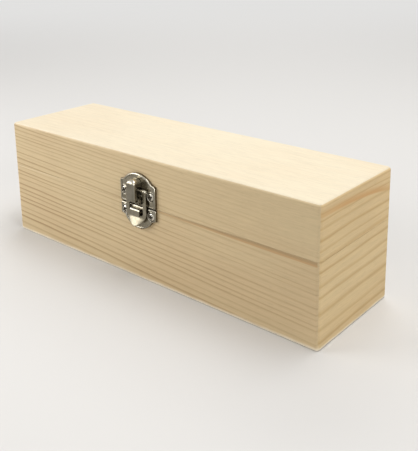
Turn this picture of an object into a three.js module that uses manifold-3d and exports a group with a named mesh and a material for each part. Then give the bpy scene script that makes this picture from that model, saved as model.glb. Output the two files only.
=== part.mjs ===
// A small hinged pine box, 205 mm long, closed by a nickel-plated over-centre catch.
// Millimetres, +Z up. The origin is the middle of the underside; the catch faces -Y.
// The box is glued up from boards as one block and sawn apart into a base and a lid.
import * as THREE from "three";
import { mergeVertices } from "three/addons/utils/BufferGeometryUtils.js";
import Module from "manifold-3d";

const wasm = await Module();
wasm.setup();

// Driving sizes of the wooden box
const boxLength = 205;
const boxDepth = 60;
const baseHeight = 40;
const lidHeight = 25;
const wallThickness = 7;
const topThickness = 5;
const bottomThickness = 5;
const cornerRadius = 1.8;
const edgeRadius = 1.4;
const seamGap = 0.3;

// Driving sizes of the catch, in its own frame: u to the right, v up, w out of the box
const catchRise = 0.8;
const plateHalfWidth = 11.9;
const upperArcRadius = 12.4;
const lowerArcRadius = 11;
const plateLedge = 2.4;
const plateLedgeFall = 0.5;
const plateSetBack = 0.1;
const upperPlateTop = 15.8;
const lowerPlateBottom = -12.8;
const plateFace = 1.2;
const sheet = 0.6;
const plateEdgeRound = 0.8;
const catchScrewU = 9;
const upperScrewV = 5.5;
const lowerScrewV = -4.7;
const bossRadius = 2.6;

const hookWidth = 6.4;
const hookSetDown = 0.9;
const hookDrop = 3.6;
const hookBend = 1.1;
const hookMouth = 0.5;
const hookHold = 0.5;

const loopThickness = 0.7;
const loopInnerHalf = 4.6;
const railWidth = 2.2;
const loopWindowRound = 1.2;
const loopWaistV = -4.2;
const loopWaistCurve = 1.8;
const loopBottom = -10.6;
const loopBottomCurve = 2.8;
const loopTabStart = 0.4;
const loopTabAngle = 20;
const loopTabBend = 0.8;
const loopEyeRadius = 1;
const loopPinV = 7.8;
const loopPinRadius = 0.5;
const loopPinHeadRadius = 0.9;
const loopPinHead = 0.4;

const leverHalfWidth = 2.9;
const leverFront = 6.4;
const leverTop = 13.5;
const leverCrown = 2.4;
const leverTail = 1.4;
const leverTopRound = 2.6;
const leverPivotV = 2.5;
const leverPivotW = 3.1;
const leverPivotRadius = 1.6;
const leverHeelV = 3.2;
const leverWaistW = 3.7;
const leverWaistV = 4.9;
const leverWall = 0.7;
const leverEdgeRound = 1.1;
const leverPinRadius = 0.8;
const earThickness = 0.8;
const earGap = 0.3;
const earRadius = 1.5;
const turningGap = 0.15;
const lugWall = 0.35;

// Driving sizes of the screws and hinges
const screwShankRadius = 0.8;
const screwHeadRadius = 1.9;
const screwHeadHeight = 1.1;
const screwLength = 6;
const screwPoint = 1.2;
const screwRim = 0.2;
const screwDome = 0.5;
const slotWidth = 0.65;
const slotDepth = 0.6;
const slotReach = 1.35;
const slotTurns = { left: 0.5, right: 0.2 };
const screwSink = 0.15;
const holeGap = 0.3;

const hingeInset = 37.5;
const hingeWidth = 18;
const leafHeight = 13;
const leafThickness = 0.8;
const leafCorner = 1.2;
const barrelRadius = 1.6;
const hingePinRadius = 0.7;
const barrelStandOff = 0.1;
const knuckleGap = 0.25;
const hingeNailX = 5.4;
const hingeNailZ = 7.4;
const nailHeadRadius = 1.5;
const nailHeadHeight = 0.6;
const nailShankRadius = 0.65;
const nailLength = 5.2;
const seatGap = 0.05;

// How far a cutting shape runs past what it cuts, and how finely the round shapes are divided
const overrun = 1;
const roundSteps = 20;
const bendSteps = 8;
const edgeSteps = 4;
const bevelSteps = 3;

const pine = new THREE.MeshStandardMaterial({ color: 0xdcc59a, roughness: 0.62, metalness: 0 });
const pinePanel = new THREE.MeshStandardMaterial({ color: 0xe4cfa6, roughness: 0.6, metalness: 0 });
const nickel = new THREE.MeshStandardMaterial({ color: 0xb8b2a6, roughness: 0.28, metalness: 1 });
const screwSteel = new THREE.MeshStandardMaterial({ color: 0xc4c0b8, roughness: 0.22, metalness: 1 });

const part = new THREE.Group();

// Solids and meshes

function toSolid(geometry) {
  const bare = geometry.clone();
  for (const name of Object.keys(bare.attributes)) {
    if (name !== "position") bare.deleteAttribute(name);
  }
  const merged = mergeVertices(bare, 1e-4);
  const vertProperties = new Float32Array(merged.attributes.position.array);
  const triVerts = new Uint32Array(merged.index.array);
  return new wasm.Manifold(new wasm.Mesh({ numProp: 3, vertProperties, triVerts }));
}

function toGeometry(solid) {
  const made = solid.getMesh();
  const geometry = new THREE.BufferGeometry();
  geometry.setAttribute("position", new THREE.BufferAttribute(new Float32Array(made.vertProperties), 3));
  geometry.setIndex(new THREE.BufferAttribute(new Uint32Array(made.triVerts), 1));
  geometry.computeVertexNormals();
  return geometry;
}

function union(solids) {
  return solids.reduce((whole, next) => whole.add(next));
}

function without(solid, tools) {
  return tools.reduce((rest, tool) => rest.subtract(tool), solid);
}

function addMesh(parent, name, solid, material) {
  const mesh = new THREE.Mesh(toGeometry(solid), material);
  mesh.name = name;
  parent.add(mesh);
  return mesh;
}

// A block from its lowest to its highest corner.
function block(low, high) {
  const size = high.map((value, axis) => value - low[axis]);
  const geometry = new THREE.BoxGeometry(...size);
  geometry.translate(...low.map((value, axis) => value + size[axis] / 2));
  return toSolid(geometry);
}

// An outline in X and Y, extruded along Z from one height to another.
function prism(outline, from, to, steps = roundSteps) {
  const geometry = new THREE.ExtrudeGeometry(outline, {
    depth: to - from,
    bevelEnabled: false,
    curveSegments: steps,
  });
  geometry.translate(0, 0, from);
  return toSolid(geometry);
}

// A profile drawn with w along X and v along Y, extruded along u and centred there.
function acrossCatch(profile, width) {
  return prism(profile, -width / 2, width / 2, bendSteps).rotate([0, -90, 0]);
}

// A round bar along u, centred on u = middle, at the given v and w.
function barAlongU(radius, length, v, w, middle = 0) {
  const geometry = new THREE.CylinderGeometry(radius, radius, length, roundSteps);
  geometry.rotateZ(Math.PI / 2);
  geometry.translate(middle, v, w);
  return toSolid(geometry);
}

// A revolved profile of [radius, height] pairs about +Z that starts and ends on the axis.
function turned(points, steps = roundSteps) {
  const geometry = new THREE.LatheGeometry(points.map(([r, h]) => new THREE.Vector2(r, h)), steps);
  geometry.rotateX(Math.PI / 2);
  return toSolid(geometry);
}

// Screws and nails point down -Z. A screw's rim and the top of a nail's head are at z = 0.

// The profile of a dome from its rim to the axis, standing on the given height.
function domeProfile(radius, rise, base) {
  const points = [];
  for (let step = edgeSteps; step >= 0; step -= 1) {
    const angle = (step / edgeSteps) * (Math.PI / 2);
    points.push([radius * Math.sin(angle), base + rise * Math.cos(angle)]);
  }
  return points;
}

function crossRecess() {
  const half = slotWidth / 2;
  const top = screwDome + overrun;
  return union([
    block([-slotReach, -half, -slotDepth], [slotReach, half, top]),
    block([-half, -slotReach, -slotDepth], [half, slotReach, top]),
  ]);
}

function raisedScrew() {
  const body = turned([
    [0, -screwLength],
    [screwShankRadius, screwPoint - screwLength],
    [screwShankRadius, -screwHeadHeight],
    [screwHeadRadius, -screwRim],
    ...domeProfile(screwHeadRadius, screwDome, 0),
  ]);
  return body.subtract(crossRecess());
}

function domedNail() {
  return turned([
    [0, -nailHeadHeight - nailLength],
    [nailShankRadius, screwPoint - nailHeadHeight - nailLength],
    [nailShankRadius, -nailHeadHeight],
    ...domeProfile(nailHeadRadius, nailHeadHeight, -nailHeadHeight),
  ]);
}

// The wooden boards. Walls are mitred at the corners and their outer corners are rounded.

const halfLength = boxLength / 2;
const halfDepth = boxDepth / 2;
const boxHeight = baseHeight + lidHeight;
const seam = baseHeight;
const lidUnderside = seam + seamGap;

// The plan of a wall of the given outer length, lying along X with its outer face at y = 0.
function wallPlan(length) {
  const half = length / 2;
  const corner = cornerRadius * (1 - Math.SQRT1_2);
  const plan = new THREE.Shape();
  plan.moveTo(half - wallThickness, wallThickness);
  plan.lineTo(wallThickness - half, wallThickness);
  plan.lineTo(corner - half, corner);
  plan.absarc(cornerRadius - half, cornerRadius, cornerRadius, 1.25 * Math.PI, 1.5 * Math.PI, false);
  plan.absarc(half - cornerRadius, cornerRadius, cornerRadius, 1.5 * Math.PI, 1.75 * Math.PI, false);
  plan.closePath();
  return plan;
}

function addWall(name, length, from, to, place, holes = []) {
  const solid = without(prism(wallPlan(length), from, to, edgeSteps), holes);
  const mesh = addMesh(part, name, solid, pine);
  mesh.position.set(place.x, place.y, 0);
  mesh.rotation.z = place.turn;
}

// A full-size panel whose outer edges are rounded on one side only, from z = 0 up to its thickness.
function panel(thickness) {
  const outline = new THREE.Shape();
  const x = halfLength - cornerRadius;
  const y = halfDepth - cornerRadius;
  outline.absarc(x, y, cornerRadius, 0, 0.5 * Math.PI, false);
  outline.absarc(-x, y, cornerRadius, 0.5 * Math.PI, Math.PI, false);
  outline.absarc(-x, -y, cornerRadius, Math.PI, 1.5 * Math.PI, false);
  outline.absarc(x, -y, cornerRadius, 1.5 * Math.PI, 2 * Math.PI, false);
  const geometry = new THREE.ExtrudeGeometry(outline, {
    depth: 2 * (thickness - edgeRadius),
    bevelEnabled: true,
    bevelSize: edgeRadius,
    bevelThickness: edgeRadius,
    bevelOffset: -edgeRadius,
    bevelSegments: edgeSteps,
    curveSegments: edgeSteps,
  });
  geometry.translate(0, 0, edgeRadius - thickness);
  return toSolid(geometry).intersect(block([-boxLength, -boxDepth, 0], [boxLength, boxDepth, boxHeight]));
}

// A blind hole bored along +Y into a wall whose outer face is at y = 0.
function pilotHole(x, z, radius, depth) {
  const bore = radius + holeGap;
  const geometry = new THREE.CylinderGeometry(bore, bore, depth + overrun, roundSteps / 2);
  geometry.translate(x, (depth - overrun) / 2, z);
  return toSolid(geometry);
}

const catchMiddle = seam + catchRise;
const screwDepth = screwLength - plateFace + screwSink + holeGap;
const nailDepth = nailLength - leafThickness + holeGap;
const hingeXs = [hingeInset - halfLength, halfLength - hingeInset];

function catchHoles(v) {
  return [-catchScrewU, catchScrewU].map((u) => pilotHole(u, catchMiddle + v, screwShankRadius, screwDepth));
}

function hingeHoles(side) {
  const z = seam + side * hingeNailZ;
  return hingeXs.flatMap((x) =>
    [-hingeNailX, hingeNailX].map((dx) => pilotHole(x + dx, z, nailShankRadius, nailDepth)),
  );
}

const places = {
  front: { x: 0, y: -halfDepth, turn: 0 },
  right: { x: halfLength, y: 0, turn: Math.PI / 2 },
  back: { x: 0, y: halfDepth, turn: Math.PI },
  left: { x: -halfLength, y: 0, turn: -Math.PI / 2 },
};

function addTier(tier, from, to, side, screwV) {
  addWall(`${tier}_front_board`, boxLength, from, to, places.front, catchHoles(screwV));
  addWall(`${tier}_back_board`, boxLength, from, to, places.back, hingeHoles(side));
  addWall(`${tier}_left_end`, boxDepth, from, to, places.left);
  addWall(`${tier}_right_end`, boxDepth, from, to, places.right);
}

addTier("base", bottomThickness, baseHeight, -1, lowerScrewV);
addTier("lid", lidUnderside, boxHeight - topThickness, 1, upperScrewV);

const top = addMesh(part, "lid_top_panel", panel(topThickness), pinePanel);
top.position.z = boxHeight - topThickness;
const bottom = addMesh(part, "base_bottom_panel", panel(bottomThickness), pinePanel);
bottom.rotation.x = Math.PI;
bottom.position.z = bottomThickness;

// The catch. Its group turns u, v, w into X, Z, -Y.

const catchGroup = new THREE.Group();
catchGroup.rotation.x = Math.PI / 2;
catchGroup.position.set(0, -halfDepth, catchMiddle);
part.add(catchGroup);

const upperPlateFoot = seamGap - catchRise + plateSetBack;
const lowerPlateHead = -catchRise - plateSetBack;

// The two plates, each from its edge at the seam to its far end.
const upperPlateSize = {
  near: upperPlateFoot,
  far: upperPlateTop,
  arc: upperArcRadius,
  screwV: upperScrewV,
};
const lowerPlateSize = {
  near: lowerPlateHead,
  far: lowerPlateBottom,
  arc: lowerArcRadius,
  screwV: lowerScrewV,
};

// The outline of a plate: straight sides from its edge at the seam, a ledge, and an arc over the far end.
function plateOutline({ near, far, arc }, inset) {
  const side = Math.sign(far - near);
  const radius = arc - inset;
  const centre = far - side * arc;
  const half = plateHalfWidth - inset;
  const arcHalf = half - plateLedge;
  const arcStart = Math.asin(arcHalf / radius);
  const shoulder = centre + side * (radius * Math.cos(arcStart) - plateLedgeFall);
  const outline = new THREE.Shape();
  outline.moveTo(-half, near + side * inset);
  outline.lineTo(half, near + side * inset);
  outline.lineTo(half, shoulder);
  for (let step = 0; step <= roundSteps; step += 1) {
    const angle = arcStart * (1 - (2 * step) / roundSteps);
    outline.lineTo(radius * Math.sin(angle), centre + side * radius * Math.cos(angle));
  }
  outline.lineTo(-half, shoulder);
  outline.closePath();
  return outline;
}

// A pressed plate: a face on a skirt, hollow behind, with a countersunk boss at each screw.
function pressedPlate(size) {
  const geometry = new THREE.ExtrudeGeometry(plateOutline(size, 0), {
    depth: 2 * (plateFace - plateEdgeRound),
    bevelEnabled: true,
    bevelSize: plateEdgeRound,
    bevelThickness: plateEdgeRound,
    bevelOffset: -plateEdgeRound,
    bevelSegments: bevelSteps,
  });
  geometry.translate(0, 0, plateEdgeRound - plateFace);
  const reach = 2 * plateHalfWidth;
  const shell = toSolid(geometry).intersect(block([-reach, -reach, 0], [reach, reach, plateFace]));
  const pocket = prism(plateOutline(size, sheet), -overrun, plateFace - sheet);
  const bosses = [];
  const sinks = [];
  for (const u of [-catchScrewU, catchScrewU]) {
    const outer = new THREE.CylinderGeometry(bossRadius, bossRadius, plateFace + 2 * overrun, roundSteps);
    outer.rotateX(Math.PI / 2);
    outer.translate(u, size.screwV, plateFace / 2);
    bosses.push(toSolid(outer));
    sinks.push(
      turned([
        [0, -overrun],
        [screwShankRadius + holeGap, -overrun],
        [screwShankRadius + holeGap, plateFace - screwSink - screwHeadHeight],
        [screwHeadRadius + holeGap, plateFace - screwSink],
        [screwHeadRadius + holeGap, plateFace + overrun],
        [0, plateFace + overrun],
      ]).translate([u, size.screwV, 0]),
    );
  }
  return without(shell.subtract(without(pocket, bosses)), sinks);
}

// Ears on the lid's plate carry the lever's pin; both lie outside the lever and inside the loop's rails.
function leverEar(side) {
  const inner = leverHalfWidth + earGap;
  const profile = new THREE.Shape();
  profile.moveTo(plateFace - sheet / 2, leverPivotV - earRadius);
  profile.lineTo(leverPivotW, leverPivotV - earRadius);
  profile.absarc(leverPivotW, leverPivotV, earRadius, -Math.PI / 2, Math.PI / 2, false);
  profile.lineTo(plateFace - sheet / 2, leverPivotV + earRadius);
  profile.closePath();
  return acrossCatch(profile, earThickness).translate([side * (inner + earThickness / 2), 0, 0]);
}

const leverBore = leverPinRadius + turningGap;
const loopBore = loopPinRadius + turningGap;
const leverBack = plateFace + turningGap;
const loopW = leverBack + lugWall + loopBore;
const earOuter = leverHalfWidth + earGap + earThickness;

const upperPlate = union([
  pressedPlate(upperPlateSize),
  leverEar(-1),
  leverEar(1),
]);
addMesh(
  catchGroup,
  "catch_lid_plate",
  upperPlate.subtract(barAlongU(leverBore, 4 * earOuter, leverPivotV, leverPivotW)),
  nickel,
);

// The hook is a strip of the base's plate bent out near its head and down again over the loop.
const hookHead = lowerPlateHead - hookSetDown;
const hookOut = loopW + loopThickness / 2 + hookMouth + sheet;
const hookTip = hookHead - hookDrop;

function hookStrip() {
  const inside = plateFace - sheet;
  const root = hookHead - sheet;
  const bend = hookBend - sheet;
  const profile = new THREE.Shape();
  profile.moveTo(inside, hookHead);
  profile.lineTo(hookOut - hookBend, hookHead);
  profile.absarc(hookOut - hookBend, hookHead - hookBend, hookBend, Math.PI / 2, 0, true);
  profile.lineTo(hookOut, hookTip + sheet / 2);
  profile.absarc(hookOut - sheet / 2, hookTip + sheet / 2, sheet / 2, 0, -Math.PI, true);
  profile.lineTo(hookOut - sheet, hookHead - hookBend);
  profile.absarc(hookOut - hookBend, hookHead - hookBend, bend, 0, Math.PI / 2, false);
  profile.lineTo(plateFace, root);
  profile.lineTo(plateFace, root - bend);
  profile.lineTo(inside, root - bend);
  profile.closePath();
  return acrossCatch(profile, hookWidth);
}

addMesh(
  catchGroup,
  "catch_base_plate",
  pressedPlate(lowerPlateSize).add(hookStrip()),
  nickel,
);

// The loop: a sheet frame whose rails end in eyes round its pin. Its foot hooks up behind the hook's
// lip, and below that it turns out as a tab for the finger.
const loopWindowBottom = hookTip + hookHold;
const loopTabV = loopWindowBottom - loopTabStart;

function loopOutline() {
  const outer = loopInnerHalf + railWidth;
  const outline = new THREE.Shape();
  const curveV = loopWaistV - loopWaistCurve;
  const round = loopWindowRound;
  outline.moveTo(outer, loopPinV);
  outline.lineTo(loopInnerHalf, loopPinV);
  outline.lineTo(loopInnerHalf, loopWindowBottom + round);
  outline.absarc(loopInnerHalf - round, loopWindowBottom + round, round, 0, -Math.PI / 2, true);
  outline.absarc(round - loopInnerHalf, loopWindowBottom + round, round, -Math.PI / 2, -Math.PI, true);
  outline.lineTo(-loopInnerHalf, loopPinV);
  outline.lineTo(-outer, loopPinV);
  outline.lineTo(-outer, loopWaistV);
  outline.bezierCurveTo(-outer, curveV, -loopBottomCurve, loopBottom, 0, loopBottom);
  outline.bezierCurveTo(loopBottomCurve, loopBottom, outer, curveV, outer, loopWaistV);
  outline.closePath();
  return outline;
}

function loopSideProfile() {
  const half = loopThickness / 2;
  const turn = THREE.MathUtils.degToRad(loopTabAngle);
  const centre = loopW + half + loopTabBend;
  const tabLength = (loopTabV - (loopTabBend + half) * Math.sin(turn) - loopBottom) / Math.cos(turn);
  const backRadius = loopTabBend + loopThickness;
  const endBack = [
    centre - backRadius * Math.cos(turn) + tabLength * Math.sin(turn),
    loopTabV - backRadius * Math.sin(turn) - tabLength * Math.cos(turn),
  ];
  const profile = new THREE.Shape();
  profile.moveTo(loopW - half, loopPinV);
  profile.lineTo(loopW - half, loopTabV);
  profile.absarc(centre, loopTabV, backRadius, Math.PI, Math.PI + turn, false);
  profile.lineTo(...endBack);
  profile.lineTo(endBack[0] + loopThickness * Math.cos(turn), endBack[1] + loopThickness * Math.sin(turn));
  profile.absarc(centre, loopTabV, loopTabBend, Math.PI + turn, Math.PI, true);
  profile.lineTo(loopW + half, loopPinV);
  profile.closePath();
  return profile;
}

const railMiddle = loopInnerHalf + railWidth / 2;
const loopFrame = prism(loopOutline(), 0, 2 * leverFront).intersect(
  acrossCatch(loopSideProfile(), 4 * (loopInnerHalf + railWidth)),
);
const loopEyes = [-railMiddle, railMiddle].map((u) =>
  barAlongU(loopEyeRadius, railWidth, loopPinV, loopW, u),
);
addMesh(
  catchGroup,
  "catch_loop",
  union([loopFrame, ...loopEyes]).subtract(barAlongU(loopBore, 4 * plateHalfWidth, loopPinV, loopW)),
  nickel,
);

// The lever: a pressed channel, open at the back, with a rounded finger end. Its flanges reach back
// round both pins and are cut away between them.
function leverProfile() {
  const foot = leverPivotRadius;
  const profile = new THREE.Shape();
  profile.moveTo(leverBack, loopPinV);
  profile.lineTo(leverBack, leverTop - leverTail);
  profile.quadraticCurveTo(leverBack, leverTop, leverBack + leverTail, leverTop);
  profile.lineTo(leverFront - leverCrown, leverTop);
  profile.absarc(leverFront - leverCrown, leverTop - leverCrown, leverCrown, Math.PI / 2, 0, true);
  profile.lineTo(leverFront, leverHeelV);
  profile.quadraticCurveTo(leverFront, leverPivotV, leverPivotW + foot, leverPivotV);
  profile.absarc(leverPivotW, leverPivotV, foot, 0, -1.25 * Math.PI, true);
  profile.lineTo(leverWaistW, leverWaistV);
  profile.absarc(loopW, loopPinV, loopW - leverBack, -0.25 * Math.PI, -Math.PI, true);
  profile.closePath();
  return profile;
}

// The room inside the channel, open to the back and at the heel.
function leverHollow() {
  const front = leverFront - leverWall;
  const tip = leverTop - leverWall;
  const crown = leverCrown - leverWall;
  const profile = new THREE.Shape();
  profile.moveTo(0, -leverFront);
  profile.lineTo(0, tip);
  profile.lineTo(front - crown, tip);
  profile.absarc(front - crown, tip - crown, crown, Math.PI / 2, 0, true);
  profile.lineTo(front, -leverFront);
  profile.closePath();
  const width = 2 * (leverHalfWidth - leverWall);
  return acrossCatch(profile, width).intersect(leverFace(leverWall));
}

// The lever seen from the front: straight sides with rounded corners at the finger end.
function leverFace(inset) {
  const half = leverHalfWidth - inset;
  const round = leverTopRound - inset;
  const tip = leverTop - inset;
  const outline = new THREE.Shape();
  outline.moveTo(-half, -2 * leverFront);
  outline.lineTo(half, -2 * leverFront);
  outline.absarc(half - round, tip - round, round, 0, Math.PI / 2, false);
  outline.absarc(round - half, tip - round, round, Math.PI / 2, Math.PI, false);
  outline.closePath();
  return prism(outline, -leverFront, 2 * leverFront, 2 * edgeSteps);
}

// The lever's cross-section, extruded along v: its two front edges are rounded.
function leverSection() {
  const edge = leverHalfWidth - leverEdgeRound;
  const front = leverFront - leverEdgeRound;
  const section = new THREE.Shape();
  section.moveTo(-leverHalfWidth, -leverFront);
  section.lineTo(leverHalfWidth, -leverFront);
  section.absarc(edge, front, leverEdgeRound, 0, Math.PI / 2, false);
  section.absarc(-edge, front, leverEdgeRound, Math.PI / 2, Math.PI, false);
  section.closePath();
  return prism(section, -2 * leverTop, 2 * leverTop, edgeSteps).rotate([90, 0, 0]);
}

const leverBody = acrossCatch(leverProfile(), 2 * leverHalfWidth)
  .intersect(leverFace(0))
  .intersect(leverSection());
addMesh(
  catchGroup,
  "catch_lever",
  without(leverBody, [
    leverHollow(),
    barAlongU(leverBore, 4 * leverHalfWidth, leverPivotV, leverPivotW),
    barAlongU(loopBore, 4 * leverHalfWidth, loopPinV, loopW),
  ]),
  nickel,
);

addMesh(
  catchGroup,
  "catch_lever_pin",
  barAlongU(leverPinRadius, 2 * earOuter, leverPivotV, leverPivotW),
  screwSteel,
);
const loopPinHalf = loopInnerHalf + railWidth + seatGap;
const loopPinHeads = [-1, 1].map((side) =>
  barAlongU(loopPinHeadRadius, loopPinHead, loopPinV, loopW, side * (loopPinHalf + loopPinHead / 2)),
);
addMesh(
  catchGroup,
  "catch_loop_pin",
  union([barAlongU(loopPinRadius, 2 * loopPinHalf + loopPinHead, loopPinV, loopW), ...loopPinHeads]),
  screwSteel,
);

function addCatchScrews(tier, v) {
  for (const side of ["left", "right"]) {
    const mesh = addMesh(catchGroup, `catch_${tier}_screw_${side}`, raisedScrew(), screwSteel);
    mesh.position.set(side === "left" ? -catchScrewU : catchScrewU, v, plateFace - screwSink);
    mesh.rotation.z = slotTurns[side];
  }
}

addCatchScrews("lid", upperScrewV);
addCatchScrews("base", lowerScrewV);

// The hinges, on the outside of the back. Each leaf lies flat on its board and rolls into its knuckles.

const axisOut = barrelRadius + barrelStandOff;
const knuckle = hingeWidth / 3;

// A leaf in its own frame: X along the pin, Y out of the back, Z up from the pin.
// side is 1 for the lid's leaf and -1 for the base's.
function hingeLeaf(side, spans) {
  const half = hingeWidth / 2;
  const outline = new THREE.Shape();
  const clear = barrelRadius + knuckleGap;
  const corner = leafCorner;
  outline.moveTo(-half, side * clear);
  outline.lineTo(-half, side * (leafHeight - corner));
  outline.quadraticCurveTo(-half, side * leafHeight, corner - half, side * leafHeight);
  outline.lineTo(half - corner, side * leafHeight);
  outline.quadraticCurveTo(half, side * leafHeight, half, side * (leafHeight - corner));
  outline.lineTo(half, side * clear);
  outline.closePath();
  const plate = prism(outline, 0, leafThickness, edgeSteps)
    .rotate([90, 0, 0])
    .translate([0, leafThickness, 0]);
  const rolls = spans.flatMap(([from, to]) => {
    const barrel = new THREE.CylinderGeometry(barrelRadius, barrelRadius, to - from, roundSteps);
    barrel.rotateZ(Math.PI / 2);
    barrel.translate((from + to) / 2, axisOut, 0);
    const low = side > 0 ? [from, barrelStandOff, 0] : [from, barrelStandOff, -clear - overrun];
    const high = side > 0 ? [to, leafThickness, clear + overrun] : [to, leafThickness, 0];
    return [toSolid(barrel), block(low, high)];
  });
  const boreRadius = hingePinRadius + turningGap;
  const bore = new THREE.CylinderGeometry(boreRadius, boreRadius, 2 * hingeWidth, roundSteps);
  bore.rotateZ(Math.PI / 2);
  bore.translate(0, axisOut, 0);
  const holeRadius = nailShankRadius + holeGap;
  const nailHoles = [-hingeNailX, hingeNailX].map((x) => {
    const hole = new THREE.CylinderGeometry(holeRadius, holeRadius, 4 * leafThickness, roundSteps / 2);
    hole.translate(x, 0, side * hingeNailZ);
    return toSolid(hole);
  });
  return without(union([plate, ...rolls]), [toSolid(bore), ...nailHoles]);
}

function addHinge(name, x) {
  const hinge = new THREE.Group();
  hinge.position.set(x, halfDepth, seam);
  part.add(hinge);
  const half = hingeWidth / 2;
  const outerSpans = [[-half, knuckle - half - knuckleGap], [half - knuckle + knuckleGap, half]];
  addMesh(hinge, `hinge_${name}_base_leaf`, hingeLeaf(-1, outerSpans), nickel);
  addMesh(hinge, `hinge_${name}_lid_leaf`, hingeLeaf(1, [[knuckle - half, half - knuckle]]), nickel);
  const pin = new THREE.CylinderGeometry(hingePinRadius, hingePinRadius, hingeWidth, roundSteps);
  pin.rotateZ(Math.PI / 2);
  pin.translate(0, axisOut, 0);
  addMesh(hinge, `hinge_${name}_pin`, toSolid(pin), screwSteel);
  for (const [tier, side] of [["base", -1], ["lid", 1]]) {
    for (const [hand, dx] of [["a", -hingeNailX], ["b", hingeNailX]]) {
      const nail = addMesh(hinge, `hinge_${name}_${tier}_nail_${hand}`, domedNail(), screwSteel);
      nail.rotation.x = -Math.PI / 2;
      nail.position.set(dx, leafThickness + seatGap + nailHeadHeight, side * hingeNailZ);
    }
  }
}

addHinge("left", hingeXs[0]);
addHinge("right", hingeXs[1]);

export default part;
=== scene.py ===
"""The look of a small hinged pine box with a nickel-plated toggle catch."""

import logging
import math
from dataclasses import dataclass, field
from enum import Enum
from typing import Callable, Optional, Sequence

import bmesh
import bpy
from mathutils import Matrix, Vector


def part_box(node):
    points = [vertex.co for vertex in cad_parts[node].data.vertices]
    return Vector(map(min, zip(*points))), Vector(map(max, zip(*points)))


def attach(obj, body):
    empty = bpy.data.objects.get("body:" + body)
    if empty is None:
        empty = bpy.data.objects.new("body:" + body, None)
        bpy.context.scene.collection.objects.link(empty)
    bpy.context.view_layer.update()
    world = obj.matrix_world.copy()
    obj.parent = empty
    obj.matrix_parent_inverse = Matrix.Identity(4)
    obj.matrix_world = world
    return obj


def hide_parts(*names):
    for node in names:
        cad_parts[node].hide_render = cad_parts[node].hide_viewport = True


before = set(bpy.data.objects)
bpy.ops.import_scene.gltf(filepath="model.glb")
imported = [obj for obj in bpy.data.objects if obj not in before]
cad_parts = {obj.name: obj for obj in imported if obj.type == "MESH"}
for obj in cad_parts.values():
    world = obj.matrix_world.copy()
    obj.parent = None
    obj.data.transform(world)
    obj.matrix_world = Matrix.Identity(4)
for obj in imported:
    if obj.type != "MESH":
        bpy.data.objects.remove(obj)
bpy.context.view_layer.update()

LOG = logging.getLogger("pine_box")
MM = 0.001
LEVER_PIVOT_RISE = 2.5 * MM
Color = tuple[float, float, float]
Place = tuple[float, float, float]
Spot = tuple[float, float]
Ramp = tuple[float, float, float, float]  # a smooth step: from, to, its result before and after


# Places taken from the frame


def box_centre(node: str) -> Vector:
    """Finds the middle of a CAD node's box, in metres."""
    low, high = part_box(node)
    return (low + high) / 2


@dataclass(frozen=True)
class BoxPlan:
    """The wooden box's own places, read from the frame once."""

    half_length: float
    half_depth: float
    seam: float
    lid_foot: float
    height: float

    @classmethod
    def from_frame(cls) -> "BoxPlan":
        """Reads the plan from the boards' boxes."""
        _, panel_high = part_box("lid_top_panel")
        _, base_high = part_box("base_front_board")
        lid_low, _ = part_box("lid_front_board")
        return cls(panel_high.x, panel_high.y, base_high.z, lid_low.z, panel_high.z)


# Node wiring


@dataclass(frozen=True)
class Noise:
    """Noise in space: its scale, how many finer layers it has and how strong they are.

    The scale is one value for all axes, or a tuple with one for each.
    """

    scale: object
    detail: float = 2.0
    roughness: float = 0.5


class Signal:
    """A value in a node tree, on which plain arithmetic adds Math nodes."""

    def __init__(self, wiring: "Wiring", socket: bpy.types.NodeSocket) -> None:
        """Keeps the socket and the wiring that it belongs to."""
        self.wiring = wiring
        self.socket = socket

    def step(self, operation: str, *values: object) -> "Signal":
        """Adds one Math node that starts from this value."""
        return self.wiring.math(operation, self, *values)

    def __add__(self, other: object) -> "Signal":
        """Adds another value."""
        return self.step("ADD", other)

    def __sub__(self, other: object) -> "Signal":
        """Takes another value away."""
        return self.step("SUBTRACT", other)

    def __rsub__(self, other: object) -> "Signal":
        """Takes this value away from a number."""
        return self.wiring.math("SUBTRACT", other, self)

    def __mul__(self, other: object) -> "Signal":
        """Multiplies by another value."""
        return self.step("MULTIPLY", other)

    def __truediv__(self, other: object) -> "Signal":
        """Divides by another value."""
        return self.step("DIVIDE", other)

    def __pow__(self, other: object) -> "Signal":
        """Raises to a power."""
        return self.step("POWER", other)

    def __abs__(self) -> "Signal":
        """Drops the sign."""
        return self.step("ABSOLUTE")

    def clamped(self) -> "Signal":
        """Keeps the result of this value's Math node between 0 and 1."""
        self.socket.node.use_clamp = True
        return self


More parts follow.
